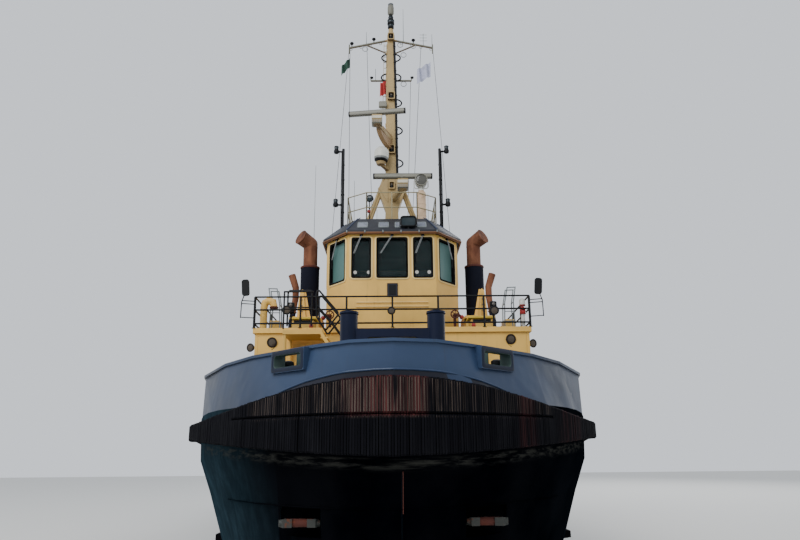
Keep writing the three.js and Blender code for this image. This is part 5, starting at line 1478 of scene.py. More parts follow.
knee = Shape(TAN, put((-0.32, -2.95, 14.98), math.radians(64)))
curve = [math.pi / 2 * i / 8 for i in range(9)]
sweep = [(0.62 - 1.05 * math.cos(a), -0.56 * math.sin(a)) for a in curve]
knee.slab([(0.62, 0.02), (-0.18, 0.1)] + sweep, -0.09, 0.09)
knee.piece("upper_radar_knee", "mast_paint")
print("radars", len(SCANNERS))

# %% [markdown]
# The satellite dome is a moulded shell on a shallow grey dish, and leans a little on its bracket. The
# searchlight is a drum in a yoke: the yoke turns on the post, and the drum has cooling ribs behind and a
# grey rim round its glass. Both are turned bodies, so their profiles are all that has to be drawn.

# %% Satellite dome
dome = Shape(WHITE, put((-0.415, -2.74, 13.75), math.radians(5), "Y"))
shell = [(0.285 * math.cos(a), 0.37 + 0.27 * math.sin(a)) for a in curve]
DOME = [  # finish, profile and sides
    (WHITE, [(0.27, 0.16), (0.282, 0.17), (0.285, 0.37)] + shell[1:], 32),
    (DOME_GREY, [(0.2, 0.08), (0.26, 0.09), (0.281, 0.16), (0.276, 0.175)], 32),
    (BLACK, [(0.1, -0.02), (0.2, 0.0), (0.262, 0.06), (0.262, 0.095), (0.2, 0.1)], 32),
    (TAN, [(0.08, -0.12), (0.1, -0.1), (0.1, 0.0), (0.12, 0.02)], 16),
]
for finish, profile, sides in DOME:
    dome.wear(finish).turned(profile, sides=sides)
dome.piece("dome_shell", "white_plastic", replaces=("satellite_dome",))
print("dome", 2 * 0.285, "across")

# %% Searchlight
SEARCH_X, SEARCH_Y = 1.072, -3.95
search = Shape(WHITE, put((SEARCH_X, SEARCH_Y, 12.43)))
drum = [(0.0, -0.29), (0.1, -0.285), (0.15, -0.23), (0.19, -0.19), (0.205, -0.12)]
drum += [(0.205, 0.02), (0.212, 0.03), (0.212, 0.13)]
rim = [(0.205, 0.12), (0.232, 0.125), (0.236, 0.18), (0.228, 0.225), (0.205, 0.228), (0.2, 0.19)]
glass = [(0.21, 0.17), (0.21, 0.185), (0.14, 0.205), (0.0, 0.212)]
for finish, profile in ((WHITE, drum), (RADAR_GREY, rim), (LENS_GREEN, glass)):
    search.wear(finish).turned(profile, ORIGIN, -Y, 32)
search.wear(WHITE)
for behind in (0.14, 0.1, 0.06, 0.02):
    search.hoop(Y * behind, 0.2, 0.216, 0.006, 0.004, -Y, 32)
yoke = [(-0.255, 0, 0.02), (-0.255, 0, -0.2), (-0.2, 0, -0.27)]
search.pipe(yoke + [(-x, y, z) for x, y, z in yoke[::-1]], 0.022, 10)
search.rod((-0.27, 0, 0), (0.27, 0, 0), 0.02, 10)
search.turned([(0.11, 0), (0.11, 0.05), (0.06, 0.09), (0.06, 0.11)], Z * -0.3695, sides=20)
search.piece("searchlight_head", "mast_paint", body="lamp", replaces=("searchlight",))
post = Shape(POST_PAINT, put((SEARCH_X, SEARCH_Y, ROOF_TOP)))
stem = [(0.2, 0), (0.2, 0.03), (0.172, 0.05), (0.17, 1.25), (0.13, 1.3), (0.11, 1.31), (0.11, 1.338)]
post.turned(stem, sides=28)
for z in (0.35, 0.8, 1.15):
    post.hoop(Z * z, 0.17, 0.178, 0.012, 0.008, sides=28)
post.piece("searchlight_post", "mast_paint", replaces=("searchlight_pedestal",))
print("searchlight on its post")

# %% [markdown]
# Halyards run from the yard tips down to the roof, and the flags hang from them. A flag in a light wind is
# a sheet that is fixed along one edge and folds under its own weight: here its folds are an even wave
# across its width, as deep as the width that its reach leaves over. The cloths are plain.


# %% Halyards and aerials
halyards = Shape(ROPE)
LINES = [  # from the yard to the rail, seen from ahead
    ((-1.7, -2.2, 19.1), (-1.62, -3.0, 11.9)),
    ((-1.0, -2.2, 19.2), (-0.75, -1.6, 10.75)),
    ((1.25, -2.2, 19.2), (0.75, -1.6, 10.75)),
    ((0.8, -2.2, 17.6), (0.6, -1.7, 10.75)),
]
STAYS = [  # from the yard tips to the roof's eave at starboard and to the vent house at port
    ((-1.73, MAST_Y, 19.2), (-2.35, -2.4, 10.0)),
    ((1.73, MAST_Y, 19.2), (2.6, -1.0, 7.1)),
]
for a, b in LINES:
    sagged = Vector(a).lerp(Vector(b), 0.5) - Z * 0.03
    halyards.pipe([a, sagged, b], 0.009, 6)
for a, b in STAYS:
    halyards.rod(a, b, 0.008, 6)
halyards.piece("halyards", "black_paint")
print("lines", [round((Vector(a) - Vector(b)).length, 1) for a, b in LINES + STAYS], "m long")

aerials = Shape(GREY)
SOCKET = [(0.03, 0), (0.03, 0.05), (0.018, 0.1), (0.018, 0.3)]
WHIPS = [  # foot, height, and how far the socket reaches below the foot
    ((-2.98, -2.3, 7.1), 6.7, 0.3),
    ((-1.45, -2.4, 10.72), 2.4, 0.0),
    ((1.45, -1.5, 10.72), 2.2, 0.0),
    ((-0.6, -1.3, 10.72), 1.6, 0.0),
]
for foot, height, below in WHIPS:
    foot = Vector(foot)
    aerials.wear(BLACK).turned(SOCKET, foot - Z * below, sides=10)
    aerials.wear(GREY).rod(foot, foot + Z * height, 0.014, 8, 0.007)
aerials.piece("whip_aerials", "white_plastic")
print("whip aerials", len(WHIPS))


# %% Flags
def flag(name, head, size, toward, blow, sag, finish):
    """A sheet of cloth: head is its upper corner, toward the side it blows to, and blow and sag are the
    shares of its width that it reaches aside and hangs down. The rest of the width lies in folds."""
    width, height = size
    across, up, folds = 30, 10, 12.0
    cloth = Shape(finish)
    toward = Vector(toward).normalized()
    fold = toward.cross(Z).normalized()
    swing = width / folds * 1.6 * math.sqrt(max(1 - blow * blow - sag * sag, 0))
    rows = []
    for j in range(up + 1):
        row = []
        for i in range(across + 1):
            s, t = i / across, j / up
            p = Vector(head) + toward * (blow * width * s) - Z * (height * t + sag * width * s)
            row.append(cloth.mesh.verts.new(p + fold * swing * math.sin(folds * s + 0.8 * t)))
        rows.append(row)
    for upper, lower in zip(rows, rows[1:]):
        for i in range(across):
            cloth.mesh.faces.new((upper[i], upper[i + 1], lower[i + 1], lower[i]))
    shown = cloth.piece(name, "white_plastic")
    return shown


flags = [
    flag("flag_green", (-1.7, -2.2, 18.68), (0.72, 0.44), (-1, -0.15, 0), 0.48, 0.62, FLAG_GREEN),
    flag("flag_white", (1.64, -2.16, 18.5), (0.9, 0.66), (-1, -0.2, 0), 0.66, 0.5, FLAG_WHITE),
    flag("flag_red", (-0.2, -2.4, 17.48), (0.5, 0.6), (-1, -0.4, 0), 0.55, 0.35, FLAG_RED),
]
print("flags", len(flags))

# %% [markdown]
# The front of the deckhouse roof is crowded: mirrors on arms at its corners, a gooseneck vent, grab rails
# over the ladders, and the boxes at the feet of the funnels. Each is a few pipes, plates or turned
# bodies, and stands a few millimetres into the deck or wall that carries it.

# %% Mirrors
for name, side in SIDES:
    mirror = Shape(BLACK, side @ put((4.33, -7.455, 7.64), 0.08, "Y"))
    back, front = rounded(0.22, 0.49, 0.07, 5), rounded(0.2, 0.47, 0.06, 5)
    shell = ((front, -0.045), (back, -0.035), (back, 0.03), (front, 0.045))
    mirror.skin([upright(line, y) for line, y in shell])
    glass = rounded(0.15, 0.42, 0.05, 5)
    mirror.wear(GASKET).rim(rounded(0.19, 0.46, 0.06, 5), glass, 0.044, 0.052)
    mirror.wear(SKY_GLASS).slab(glass, 0.03, 0.048)
    mirror.at = side
    mirror.wear(BLACK)
    for z, reach in ((7.26, 4.43), (7.17, 4.43), (6.76, 4.44)):
        mirror.pipe([(4.06, -7.3, z), (4.1, -7.32, z), (reach, -7.44, z)], 0.014, 8)
    mirror.pipe([(4.36, -7.45, 7.42), (4.43, -7.44, 7.22), (4.44, -7.44, 6.74)], 0.016, 8)
    mirror.piece(f"{name}_mirror", "black_paint", replaces=(f"mirror_{name}",))
print("mirrors", len(SIDES))

# %% Front of the deckhouse roof
clutter = Shape(CREAM, MIRROR)
neck = upright([(3.93, DECK), (3.93, 7.2), (3.9, 7.36), (3.8, 7.42)], -6.6)
clutter.pipe(neck + upright([(3.66, 7.38), (3.62, 7.22)], -6.62), 0.11, 18)
clutter.turned([(0.11, -0.01), (0.15, 0.0), (0.15, 0.03), (0.11, 0.04)], neck[0], sides=18)
mouth = [(0.11, -0.02), (0.135, -0.01), (0.135, 0.03), (0.1, 0.04)]
clutter.wear(RUSTY).turned(mouth, (3.62, -6.62, 7.2), sides=18)
GRAB = [(3.42, DECK), (3.45, 7.3), (3.55, 7.8), (3.8, 7.81), (3.72, 7.35), (3.74, DECK)]
for side in BOTH:
    clutter.at = side
    clutter.wear(GREY)
    for y in (-6.62, -6.25):
        clutter.pipe(upright(GRAB, y), 0.018, 10)
    for x, z in ((3.72, 7.35), (3.45, 7.3)):
        clutter.rod((x, -6.62, z), (x, -6.25, z), 0.014, 8)
    for z in (6.75, 7.05):
        clutter.rod((3.43, -6.62, z), (3.74, -6.62, z), 0.013, 8)
    clutter.wear(CREAM).block((3.55, -5.9, DECK), (3.9, -5.2, 6.95), 0.02)
    clutter.wear(BLACK).rod((3.05, -6.9, DECK), (3.05, -6.9, 7.0), 0.03, 8)
    clutter.block((2.95, -6.98, 6.97), (3.15, -6.84, 7.3), 0.02)
    clutter.wear(WORN).turned([(0.05, 0), (0.05, 0.05), (0.03, 0.06)], (3.05, -6.98, 7.2), -Y, 12)
    clutter.wear(CREAM).slab([(2.42, 6.465), (3.34, 6.465), (3.34, 7.05), (2.42, 7.05)], -4.99, -4.83, 0.012)
    clutter.wear(YELLOW).block((2.36, -6.3, 6.9), (3.2, -5.5, 6.98), 0.015)
    clutter.wear(CREAM).block((2.44, -6.24, DECK), (3.12, -5.56, 6.91), 0.02)
    clutter.wear(BLACK).block((2.5, -6.25, 6.78), (3.06, -6.2, 6.88), 0.006)
    clutter.wear(CREAM)
    clutter.slab([(2.72, 6.98), (3.06, 6.98), (2.98, 7.95), (2.9, 8.02), (2.85, 7.95)], -5.62, -5.59)
    clutter.slab([(2.76, 6.98), (2.84, 6.98), (2.88, 7.9), (2.86, 7.9)], -5.7, -5.66)
    clutter.wear(GREY)
    for step in range(4):
        z = 7.1 + 0.19 * step
        clutter.rod((2.82, -5.64, z), (2.98, -5.64, z), 0.01, 6)
clutter.at = Matrix()
clutter.wear(CREAM_PALE)
for z in (7.61, 7.47):
    clutter.rod((-1.18, -5.47, z), (1.17, -5.47, z), 0.014, 8)
    for i in range(5):
        x = -1.14 + 2.27 * i / 4
        clutter.rod((x, -5.43, z), (x, -5.47, z), 0.01, 6)
clutter.wear(NAVY_DARK).slab([(-0.17, 7.8), (0.18, 7.8), (0.18, 8.25), (-0.17, 8.25)], -5.462, -5.43, 0.008)
clutter.wear(BLACK).slab([(-0.11, 7.86), (0.12, 7.86), (0.12, 8.19), (-0.11, 8.19)], -5.475, -5.46, 0.004)
clutter.piece("roof_clutter", "cream_paint")
print("roof clutter fitted")

# %% [markdown]
# A fire main ends in a valve on each side. Its steel pipe, hand wheel and capped outlet are stiff, so they
# are pipes and turned bodies. The red side light at port has a white anchor light above it, on one post.

# %% Fire valves and side lights
valves = Shape(RUSTY)
WHEEL = Vector((1.88, -6.98, 6.9))
for side in BOTH:
    valves.at = side
    valves.wear(RUSTY).pipe(arc(WHEEL, 0.12, X, Z, 20), 0.02, 8)
    for k in range(3):
        a = math.radians(60 * k + 20)
        reach = (X * math.cos(a) + Z * math.sin(a)) * 0.12
        valves.rod(WHEEL - reach, WHEEL + reach, 0.011, 6)
    bonnet = [(0.03, -0.12), (0.05, -0.1), (0.05, 0.02), (0.02, 0.04), (0.02, 0.14)]
    valves.turned(bonnet, (1.88, -6.86, 6.9), -Y, 14)
    riser = [(1.88, DECK), (1.88, 6.82), (1.9, 6.88), (2.0, 6.9), (2.08, 6.84)]
    valves.pipe(upright(riser, -6.86), 0.042, 10)
    cap = [(0.05, -0.03), (0.07, -0.02), (0.07, 0.05), (0.04, 0.06)]
    valves.wear(RED).turned(cap, (2.08, -6.86, 6.84), (0.7, 0, -0.7), 14)
    valves.hoop((2.44, -6.86, 6.56), 0.05, 0.09, 0.06, 0.05, X, 14)
    valves.rod((2.44, -6.86, DECK), (2.44, -6.86, 6.6), 0.04, 10)
valves.at = put((3.88, -7.18, 0))
base = [(0.08, -0.11), (0.095, -0.1), (0.095, -0.08), (0.075, -0.075)]
glass = [(0.075, -0.075), (0.088, -0.06), (0.088, 0.07), (0.06, 0.11), (0.0, 0.13)]
for z, lens in ((6.95, LENS_RED), (7.2, WHITE)):
    valves.wear(RED).turned(base, Z * z, sides=18)
    valves.wear(lens).turned(glass, Z * z, sides=18)
valves.wear(WHITE).rod(Z * DECK, Z * 6.86, 0.06, 14)
valves.piece("fire_valves_and_side_lights", "black_paint")
print("valves", len(BOTH))

# %% [markdown]
# The stair climbs inboard of the porch at starboard. Its handrails are bent pipe, in two parallel lines
# that turn a corner at the landing, and the railing steps up in a loop over the stair's head.

# %% Stair rails and porch
stairs = Shape(BLACK)
loop = [(-3.09, 6.5), (-3.09, 7.5), (-3.04, 7.57), (-2.43, 7.57), (-2.38, 7.5), (-2.38, 6.5)]
stairs.pipe(upright(loop, -7.34), 0.026, 10)
stairs.rod((-3.09, -7.34, 7.06), (-2.38, -7.34, 7.06), 0.02, 8)
TOP_LOOP = [(-2.13, 6.61), (-2.15, 7.28), (-2.12, 7.36), (-2.07, 7.36), (-1.54, 6.74), (-1.53, 6.66)]
TOP_LOOP += [(-1.85, 6.25), (-1.9, 6.25), (-2.13, 6.61)]
HANDRAIL = [(-2.14, 6.95), (-1.7, 6.45), (-0.75, 5.2), (-0.66, 5.0), (-0.66, 4.1)]
for y in (-7.5, -8.2):
    stairs.pipe(upright(TOP_LOOP, y), 0.026, 10)
    stairs.pipe(upright(HANDRAIL, y), 0.022, 8)
stairs.pipe(upright([(-3.03, 6.24), (-3.03, 7.3), (-2.22, 7.3)], -8.36), 0.024, 10)
stairs.rod((-3.03, -8.36, 6.8), (-2.22, -8.36, 6.8), 0.018, 8)
stairs.wear(CREAM)
for k in range(5):
    left, right = -2.9 + 0.19 * k, -2.74 + 0.19 * k
    stairs.slab([(left, 4.1), (right, 4.1), (right, 6.0), (left, 6.0)], -7.27, -7.25, 0.006)
stairs.piece("stair_rails", "black_paint")
print("front of the house fitted")

# %% [markdown]
# A ship's door stands in a raised frame, which is a band round the hole and rides on the ship. A porthole
# is the same on every wall, so one function turns its ring and its glass.


# %% Door frames and portholes
DOOR_WIDE, DOOR_HIGH = 0.7, 1.84


def door_frame(shape):
    lap = rounded(DOOR_WIDE + 0.16, DOOR_HIGH + 0.16, 0.12, 5)
    hole = rounded(DOOR_WIDE + 0.03, DOOR_HIGH + 0.03, 0.06, 5)
    shape.band([(lap, -0.004), (lap, -0.02), (hole, -0.02), (hole, 0.01)])


def porthole(shape, place, outward):
    ring = [(0.15, -0.002), (0.21, 0.0), (0.21, 0.02), (0.15, 0.024), (0.15, 0.004)]
    glass = [(0.0, -0.002), (0.15, -0.002), (0.15, 0.008), (0.0, 0.01)]
    shape.wear(ZINC).turned(ring, place, outward, 28)
    shape.wear(SKY_GLASS).turned(glass, place, outward, 28)


frames = Shape(CREAM_PALE)
for side in BOTH:
    frames.at = side @ put((4.05, -1.09, 4.05), math.pi / 2)
    door_frame(frames)
frames.at = put((0, -0.6, 7.42), math.pi)
door_frame(frames)
SIDE_PORTS = (-6.2, -4.9, -3.6, 0.4, 1.4, 2.4)
AFT_PORTS = (-3.1, -0.75, 0.75, 3.1)
PORT_Z = 5.05
for side in BOTH:
    frames.at = side
    for y in SIDE_PORTS:
        porthole(frames, (4.05, y, PORT_Z), X)
        frames.wear(WORN)
        for place in arc((4.07, y, PORT_Z), 0.18, Y, Z, 6)[1:]:
            frames.bolt(place, X, 0.014, 0.01, 0.012)
frames.at = Matrix()
for x in AFT_PORTS:
    porthole(frames, (x, 3.0, PORT_Z), Y)
frames.piece("door_frames_and_portholes", "cream_paint")
print("portholes", 2 * len(SIDE_PORTS) + len(AFT_PORTS))

# %% [markdown]
# The engine room breathes through louvres in the vent house: a frame with slanted slats before a black back,
# which is painted shade for the dark opening behind them.

# %% Louvres
vents = Shape(CREAM_PALE)
for side in BOTH:
    vents.at = side @ put((1.252, 1.3, 7.3), math.pi / 2)
    vents.wear(CREAM_PALE).rim(rounded(1.5, 1.0, 0.05), rounded(1.4, 0.9, 0.04), 0.0, -0.03)
    for k in range(11):
        z = -0.4 + 0.08 * k
        strip = [(-0.7, z - 0.04), (0.7, z - 0.04), (0.7, z + 0.04), (-0.7, z + 0.04)]
        # The black strips behind the slats are painted shade.
        vents.wear(BLACK).slab(strip, -0.004, 0.0)
        slat = ((-0.008, z + 0.035), (-0.03, z - 0.015), (-0.026, z - 0.02))
        vents.wear(CREAM).skin([[(x, y, height) for y, height in slat] for x in (-0.7, 0.7)])
vents.piece("vent_louvres", "cream_paint")
print("louvres", len(BOTH))

# %% [markdown]
# A door has a rim, dogs that clamp it, hinge straps and a small round window. All of that turns with the
# door, so it rides on the door's own body.


# %% Door gear
def door_gear(shape, width, height):
    """Rim, dogs, straps and a porthole. The door hangs on the side of -X."""
    outline, inner = rounded(width - 0.04, height - 0.04, 0.05), rounded(width - 0.12, height - 0.12, 0.04)
    shape.wear(CREAM).rim(outline, inner, 0.0, -0.012)
    latch, hinge = width / 2 - 0.1, 0.2 - width / 2
    for z in (-0.38 * height, 0.0, 0.38 * height):
        dog = [(0.028, 0), (0.028, 0.02), (0.014, 0.024), (0.014, 0.05)]
        shape.wear(ZINC).turned(dog, (latch, -0.012, z), -Y, 12)
        shape.block((latch - 0.012, -0.062, z - 0.09), (latch + 0.012, -0.05, z + 0.015), 0.004)
        shape.wear(CREAM).block((hinge - 0.11, -0.02, z - 0.025), (hinge + 0.11, -0.008, z + 0.025), 0.004)
    light = (0, -0.004, 0.27 * height)
    ring = [(0.15, 0.0), (0.19, 0.0), (0.19, 0.022), (0.15, 0.022), (0.15, 0.004)]
    shape.wear(ZINC).turned(ring, light, -Y, 24)
    shape.wear(SKY_GLASS).turned([(0.0, 0.0), (0.15, 0.0), (0.15, 0.01), (0.0, 0.012)], light, -Y, 24)


for name, side in SIDES:
    gear = Shape(CREAM, side @ put((4.068, -1.09, 4.05), math.pi / 2))
    door_gear(gear, 0.67, 1.8)
    gear.piece(f"{name}_door_gear", "cream_paint", body=f"{name}_door")
gear = Shape(CREAM, put((0, -0.58, 7.42), math.pi))
door_gear(gear, 0.66, 1.8)
gear.piece("wheelhouse_door_gear", "cream_paint", body="bridge_door")
print("doors fitted", len(SIDES) + 1)

# %% [markdown]
# Life rings hang at the sides of the deckhouse. A ring is a pipe bent into a hoop, with four white bands.

# %% Life rings
rings = Shape(ORANGE)
for side in BOTH:
    for y, z in ((-2.6, 4.95), (2.35, 4.2)):
        rings.at = side @ put((4.1, y, z))
        rings.wear(ORANGE).pipe(arc(ORIGIN, 0.27, Y, Z, 36), 0.055, 12)
        rings.wear(WHITE)
        for k in range(4):
            a = math.radians(45 + 90 * k)
            p = (Y * math.cos(a) + Z * math.sin(a)) * 0.27
            along = (Z * math.cos(a) - Y * math.sin(a)) * 0.05
            rings.rod(p - along, p + along, 0.059, 12)
        rings.wear(ZINC).block((-0.05, -0.04, -0.36), (0.0, 0.04, -0.2), 0.005)
rings.piece("life_rings", "black_paint")
print("life rings hung")

# %% [markdown]
# An inflatable raft is packed in a ribbed canister of two halves, with a seam between them, straps round
# it and a release at the cradle.

# %% Rafts
SHELL = 0.32  # radius of the canister
HALF_BODY = [(0.0, 0.65), (0.2, 0.645), (0.29, 0.6), (SHELL, 0.52)]
canister = [(r, -h) for r, h in HALF_BODY]
for h in (-0.4, -0.2, 0.0, 0.2, 0.4):
    canister += [(SHELL, h - 0.04), (0.331, h - 0.03), (0.331, h + 0.03), (SHELL, h + 0.04)]
canister += HALF_BODY[::-1]
for name, side in SIDES:
    raft = Shape(WHITE, side @ put((3.35, 1.3, 6.92)))
    raft.turned(canister, ORIGIN, Y, 32)
    raft.wear(GASKET)
    for sx in (-1, 1):
        raft.block((sx * 0.335 - 0.012, -0.56, -0.012), (sx * 0.335 + 0.005, 0.56, 0.012), 0.004)
    for y in (-0.3, 0.3):
        raft.wear(BLACK).pipe(arc(Y * y, 0.337, X, Z, 32), 0.01, 6)
        raft.wear(ZINC).block((-0.36, y - 0.04, -0.44), (0.36, y + 0.04, -0.4), 0.008)
        for sx in (-1, 1):
            raft.pipe([(sx * x, y, z) for x, z in ((0.33, -0.42), (0.3, -0.3), (0.27, -0.22))], 0.022, 8)
    raft.wear(RED).turned([(0.035, 0), (0.035, 0.09), (0.0, 0.1)], (0.34, 0, -0.38), Y, 10)
    raft.piece(f"{name}_raft_canister", "white_plastic")
print("rafts strapped down")

# %% [markdown]
# A towing winch winds its rope in layers on a steel drum. The rope is one long helix that goes there
# and back, so it is made as a pipe along a helix whose radius grows by one rope at each layer, and
# it rides on the drum's own body. The brake, the motor's ribs and the bolts stay with the ship.


# %% Towing winches
WINCHES = [  # name, y, height of the axis, half width, core, flange
    ("fore", -10.2, 4.693, 0.9, 0.33, 0.72),
    ("aft", 5.2, 3.05, 0.8, 0.3, 0.62),
]
ROPE_RADIUS = 0.038
LAYERS = 2


def wind(shape, half, core):
    """A rope wound in layers between the flanges, about the X axis."""
    pitch = 2.05 * ROPE_RADIUS
    turns = int((2 * half - 0.24) / pitch)
    points = []
    for layer in range(LAYERS):
        radius = core + ROPE_RADIUS * (1 + 1.75 * layer)
        for i in range(turns * 16):
            a = FULL_TURN * i / 16
            run = -half + 0.12 + ROPE_RADIUS + pitch * (i / 16)
            points.append(((run if layer % 2 == 0 else -run), radius * math.cos(a), radius * math.sin(a)))
    shape.pipe(points, ROPE_RADIUS, 6)
    return turns


for name, y, axis, half, core, flange in WINCHES:
    drum = Shape(DRUM, put((0, y, axis)))
    lip = [(flange - 0.07, 0), (flange - 0.07, 0.012), (flange + 0.006, 0.012), (flange + 0.006, -0.05)]
    for end in (-1, 1):
        drum.turned(lip, X * end * (half - 0.062), X * end, 40)
    for end in (-1, 1):
        for k in range(8):
            drum.at = put((end * (half - 0.03), y, axis), math.radians(45 * k + 22), "X")
            drum.block((-0.028, 0.12, -0.012), (0.012, flange - 0.1, 0.012), 0.004)
    drum.at = put((0, y, axis))
    turns = wind(drum.wear(HAWSER), half, core)
    drum.piece(f"{name}_drum_rope", "drum_steel", body=f"{name}_drum")
    print(name, "winch", turns, "turns in", LAYERS, "layers")

    fittings = Shape(GREY, put((0, y, axis)))
    cooling = [(core * 0.79, 0), (core * 0.86, 0.004), (core * 0.86, 0.02), (core * 0.79, 0.024)]
    for k in range(7):
        fittings.turned(cooling, X * (half + 0.11 + 0.06 * k), X, 28)
    fittings.turned([(core * 0.6, 0), (core * 0.55, 0.05), (0.0, 0.06)], X * (half + 0.56), X)
    hub = [(0.2, 0), (0.19, 0.03), (0.12, 0.035), (0.12, 0.05), (0.0, 0.05)]
    for outward in (-X, X):
        fittings.wear(NAVY).turned(hub, outward * (half + 0.08), outward)
        fittings.wear(WORN)
        for place in arc(outward * (half + 0.11), 0.155, Y, Z, 8)[1:]:
            fittings.bolt(place, outward, 0.018, 0.014, 0.018)
    fittings.wear(NAVY).pipe(arc(X * (-half - 0.13), flange * 0.55, Y, Z, 14, 0, math.pi), 0.022, 8)
    fittings.wear(RED).pipe(arc((-half - 0.2, 0.3, 0.28), 0.12, Y, Z, 20), 0.014, 8)
    fittings.wear(ZINC).rod((-half - 0.06, 0.3, 0.28), (-half - 0.21, 0.3, 0.28), 0.02, 10)
    fittings.piece(f"{name}_winch_fittings", "navy_paint")

# %% [markdown]
# The aft deck is seen only from above and astern. It has the hatch with its hand wheel, vents with
# mushroom caps, bollards, a tow hook and a pipe hoop over which a rope may run. Ladders of plain rungs
# climb the aft wall of the deckhouse and the back of the mast.

# %% Hatch wheel
hatch_gear = Shape(ZINC, put((0, 9.2, 2.76)))
for rim_point in arc(Z * 0.085, 0.15, X, Y, 6)[1:]:
    hatch_gear.rod(Z * 0.085, rim_point, 0.012, 6)
hatch_gear.pipe(arc(Z * 0.09, 0.16, X, Y, 24), 0.02, 8)
hatch_gear.wear(GREY)
for x in (-0.4, 0.4):
    for y in (-0.4, 0.4):
        hatch_gear.block((x - 0.05, y - 0.05, 0.0), (x + 0.05, y + 0.05, 0.022), 0.006)
hatch_gear.piece("hatch_wheel", "grey_paint", body="hatch")
print("hatch wheel fitted")

# %% Aft deck
aft = Shape(GREY, put((0, 9.2, 2.2603)))
for x in (-0.465, 0.465):
    aft.block((x - 0.02, -0.44, 0.4), (x + 0.02, 0.44, 0.436), 0.006)
aft.at = Matrix()
aft.wear(CREAM)
VENTS = [  # profile and sides
    ([(0.14, 0), (0.14, 0.55), (0.13, 0.56), (0.13, 0.6)], 20),
    ([(0.25, 0.55), (0.26, 0.57), (0.25, 0.66), (0.16, 0.73), (0.0, 0.75)], 24),
    ([(0.2, 0), (0.2, 0.02), (0.14, 0.03)], 20),
]
for x, y in ((-2.6, 7.6), (2.6, 7.6), (-3.2, 4.2), (3.2, 4.2)):
    for profile, sides in VENTS:
        aft.turned(profile, (x, y, deck_height(y) + 0.004), sides=sides)
BOLLARD = [(0.13, 0), (0.13, 0.4), (0.15, 0.42), (0.15, 0.45), (0.0, 0.47)]
for side in BOTH:
    aft.at = side
    aft.wear(NAVY)
    for y in (3.9, 8.6, 12.4):
        z = deck_height(y) + 0.004
        for along in (-0.26, 0.26):
            aft.turned(BOLLARD, (4.2, y + along, z), sides=20)
        aft.block((4.0, y - 0.46, z), (4.4, y + 0.46, z + 0.03), 0.008)
    rope_hoop = [(2.6, 2.25), (2.6, 3.3), (2.45, 3.5), (0.8, 3.68), (0.0, 3.7)]
    aft.wear(BLACK).pipe(upright(rope_hoop, 10.2), 0.07, 14)
aft.at = Matrix()
aft.wear(RED).block((-0.28, 3.002, 2.6), (0.28, 3.5, 3.0), 0.04)
hook = [(3.45, 2.85), (3.75, 2.86), (3.85, 2.95), (3.82, 3.08), (3.7, 3.12)]
aft.wear(WORN).pipe([(0, y, z) for y, z in hook], 0.06, 12)
aft.piece("aft_deck_gear", "navy_paint")
print("aft deck fitted")

# %% Ladders
ladders = Shape(BLACK)
for side in BOTH:
    ladders.at = side
    for x in (1.5, 2.1):
        ladders.pipe([(x, 3.14, 2.3), (x, 3.14, 6.1), (x, 3.2, 6.3)], 0.024, 8)
        for z in (2.6, 4.4, 6.0):
            ladders.rod((x, 3.0, z), (x, 3.14, z), 0.016, 6)
    for k in range(12):
        ladders.rod((1.5, 3.14, 2.6 + 0.3 * k), (2.1, 3.14, 2.6 + 0.3 * k), 0.016, 8)
ladders.at = Matrix()
for x in (-0.2, 0.2):
    ladders.pipe([(x, -1.82, 10.75), (x, -1.9, 13.2), (x * 0.8, -1.96, 18.6)], 0.018, 8)
for k in range(28):
    z = 10.95 + 0.27 * k
    share = min(max((z - 13.2) / 5.4, 0), 1)
    x, y = 0.2 - 0.04 * share, -1.86 - 0.1 * share
    ladders.rod((-x, y, z), (x, y, z), 0.013, 6)
ladders.piece("ladders", "black_paint")
print("rungs", 2 * 12 + 28)

# %% [markdown]
# The screws turn in short tubes, and zinc blocks round each tube guard the steel. The screws are cast in
# bronze: each blade is a skin over sections that twist from steep at the hub to flat at the tip.

# %% Screws
DRIVE_X, DRIVE_Y, SHAFT, BLADES = 2.35, 11.4, -3.45, 4


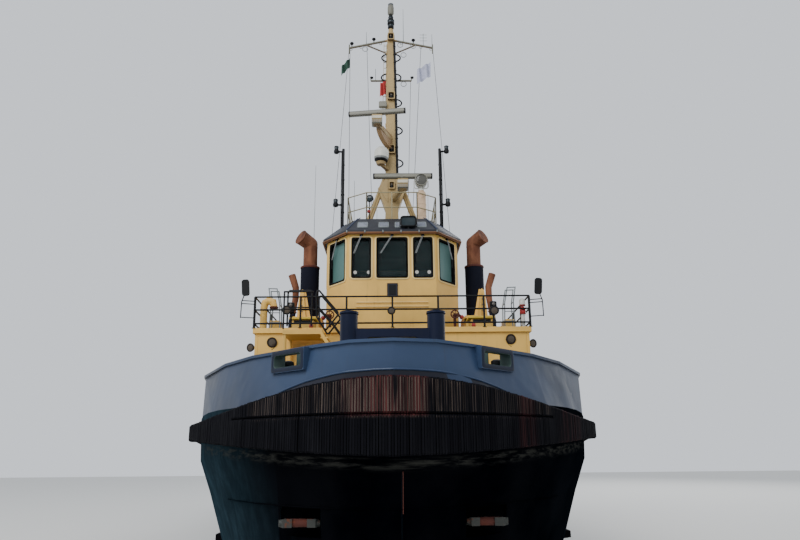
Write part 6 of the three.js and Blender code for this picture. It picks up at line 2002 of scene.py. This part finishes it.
def blade(shape, turn, centre):
    sections = []
    for k in range(9):
        s = k / 8
        radius = 0.15 + 0.67 * s
        pitch = math.radians(62 - 40 * s)
        chord = 0.17 + 0.2 * math.sin(math.pi * (0.15 + 0.72 * s)) * (1 - 0.45 * s * s)
        thick = 0.045 * (1 - 0.8 * s) + 0.006
        skew = 0.16 * s * s
        row = []
        for i in range(14):
            a = FULL_TURN * i / 14
            along, across = chord * 0.62 * math.cos(a), thick * math.sin(a)
            swing = (along * math.cos(pitch) - across * math.sin(pitch)) / radius + skew
            y = along * math.sin(pitch) * 0.52 + across * math.cos(pitch)
            place = turn @ Vector((radius * math.sin(swing), 0, radius * math.cos(swing)))
            row.append(place + centre + Y * y)
        sections.append(row)
    shape.skin(sections)


def screw_on(name, side):
    screw = Shape(BRONZE, side)
    for k in range(BLADES):
        centre = Vector((DRIVE_X, DRIVE_Y - 0.14, SHAFT))
        blade(screw, Matrix.Rotation(FULL_TURN * k / BLADES, 3, "Y"), centre)
    cone = [(0.0, -0.349), (0.06, -0.345), (0.12, -0.3), (0.17, -0.2), (0.19, -0.1), (0.19, 0.079)]
    screw.turned(cone, (DRIVE_X, DRIVE_Y, SHAFT), Y, 32)
    stands_for = (f"screw_{name}",)
    screw.piece(f"{name}_screw_casting", "screw_bronze", body=f"{name}_screw", replaces=stands_for)


print("screw blades", 2 * BLADES)

# %% Tubes
TUBE = [(0.918, -0.575), (0.96, -0.585), (1.0, -0.54), (1.03, -0.42), (1.025, -0.2), (1.005, 0.2)]
TUBE += [(0.99, 0.575), (0.97, 0.582), (0.905, 0.575), (0.897, 0.2), (0.897, -0.2), (0.902, -0.35)]
TUBE += [(0.905, -0.5)]


def tube_round(name, side):
    tube = Shape(HULL_SIDE, side)
    rings = []
    for i in range(64):
        a = FULL_TURN * i / 64
        rings.append([(DRIVE_X + r * math.cos(a), 11.3 + h, SHAFT + r * math.sin(a)) for r, h in TUBE])
    tube.skin(rings, wrap=True)
    tube.wear(ZINC)
    for k in range(8):
        tube.at = side @ put((DRIVE_X, 11.62, SHAFT), math.radians(45 * k + 20), "Y")
        tube.block((-0.12, -0.1, 1.0), (0.12, 0.1, 1.024), 0.01)
    tube.piece(f"{name}_tube_skin", "hull_paint", body=f"{name}_drive")


for name, side in SIDES:
    screw_on(name, side)
    tube_round(name, side)
print("tubes", len(SIDES))
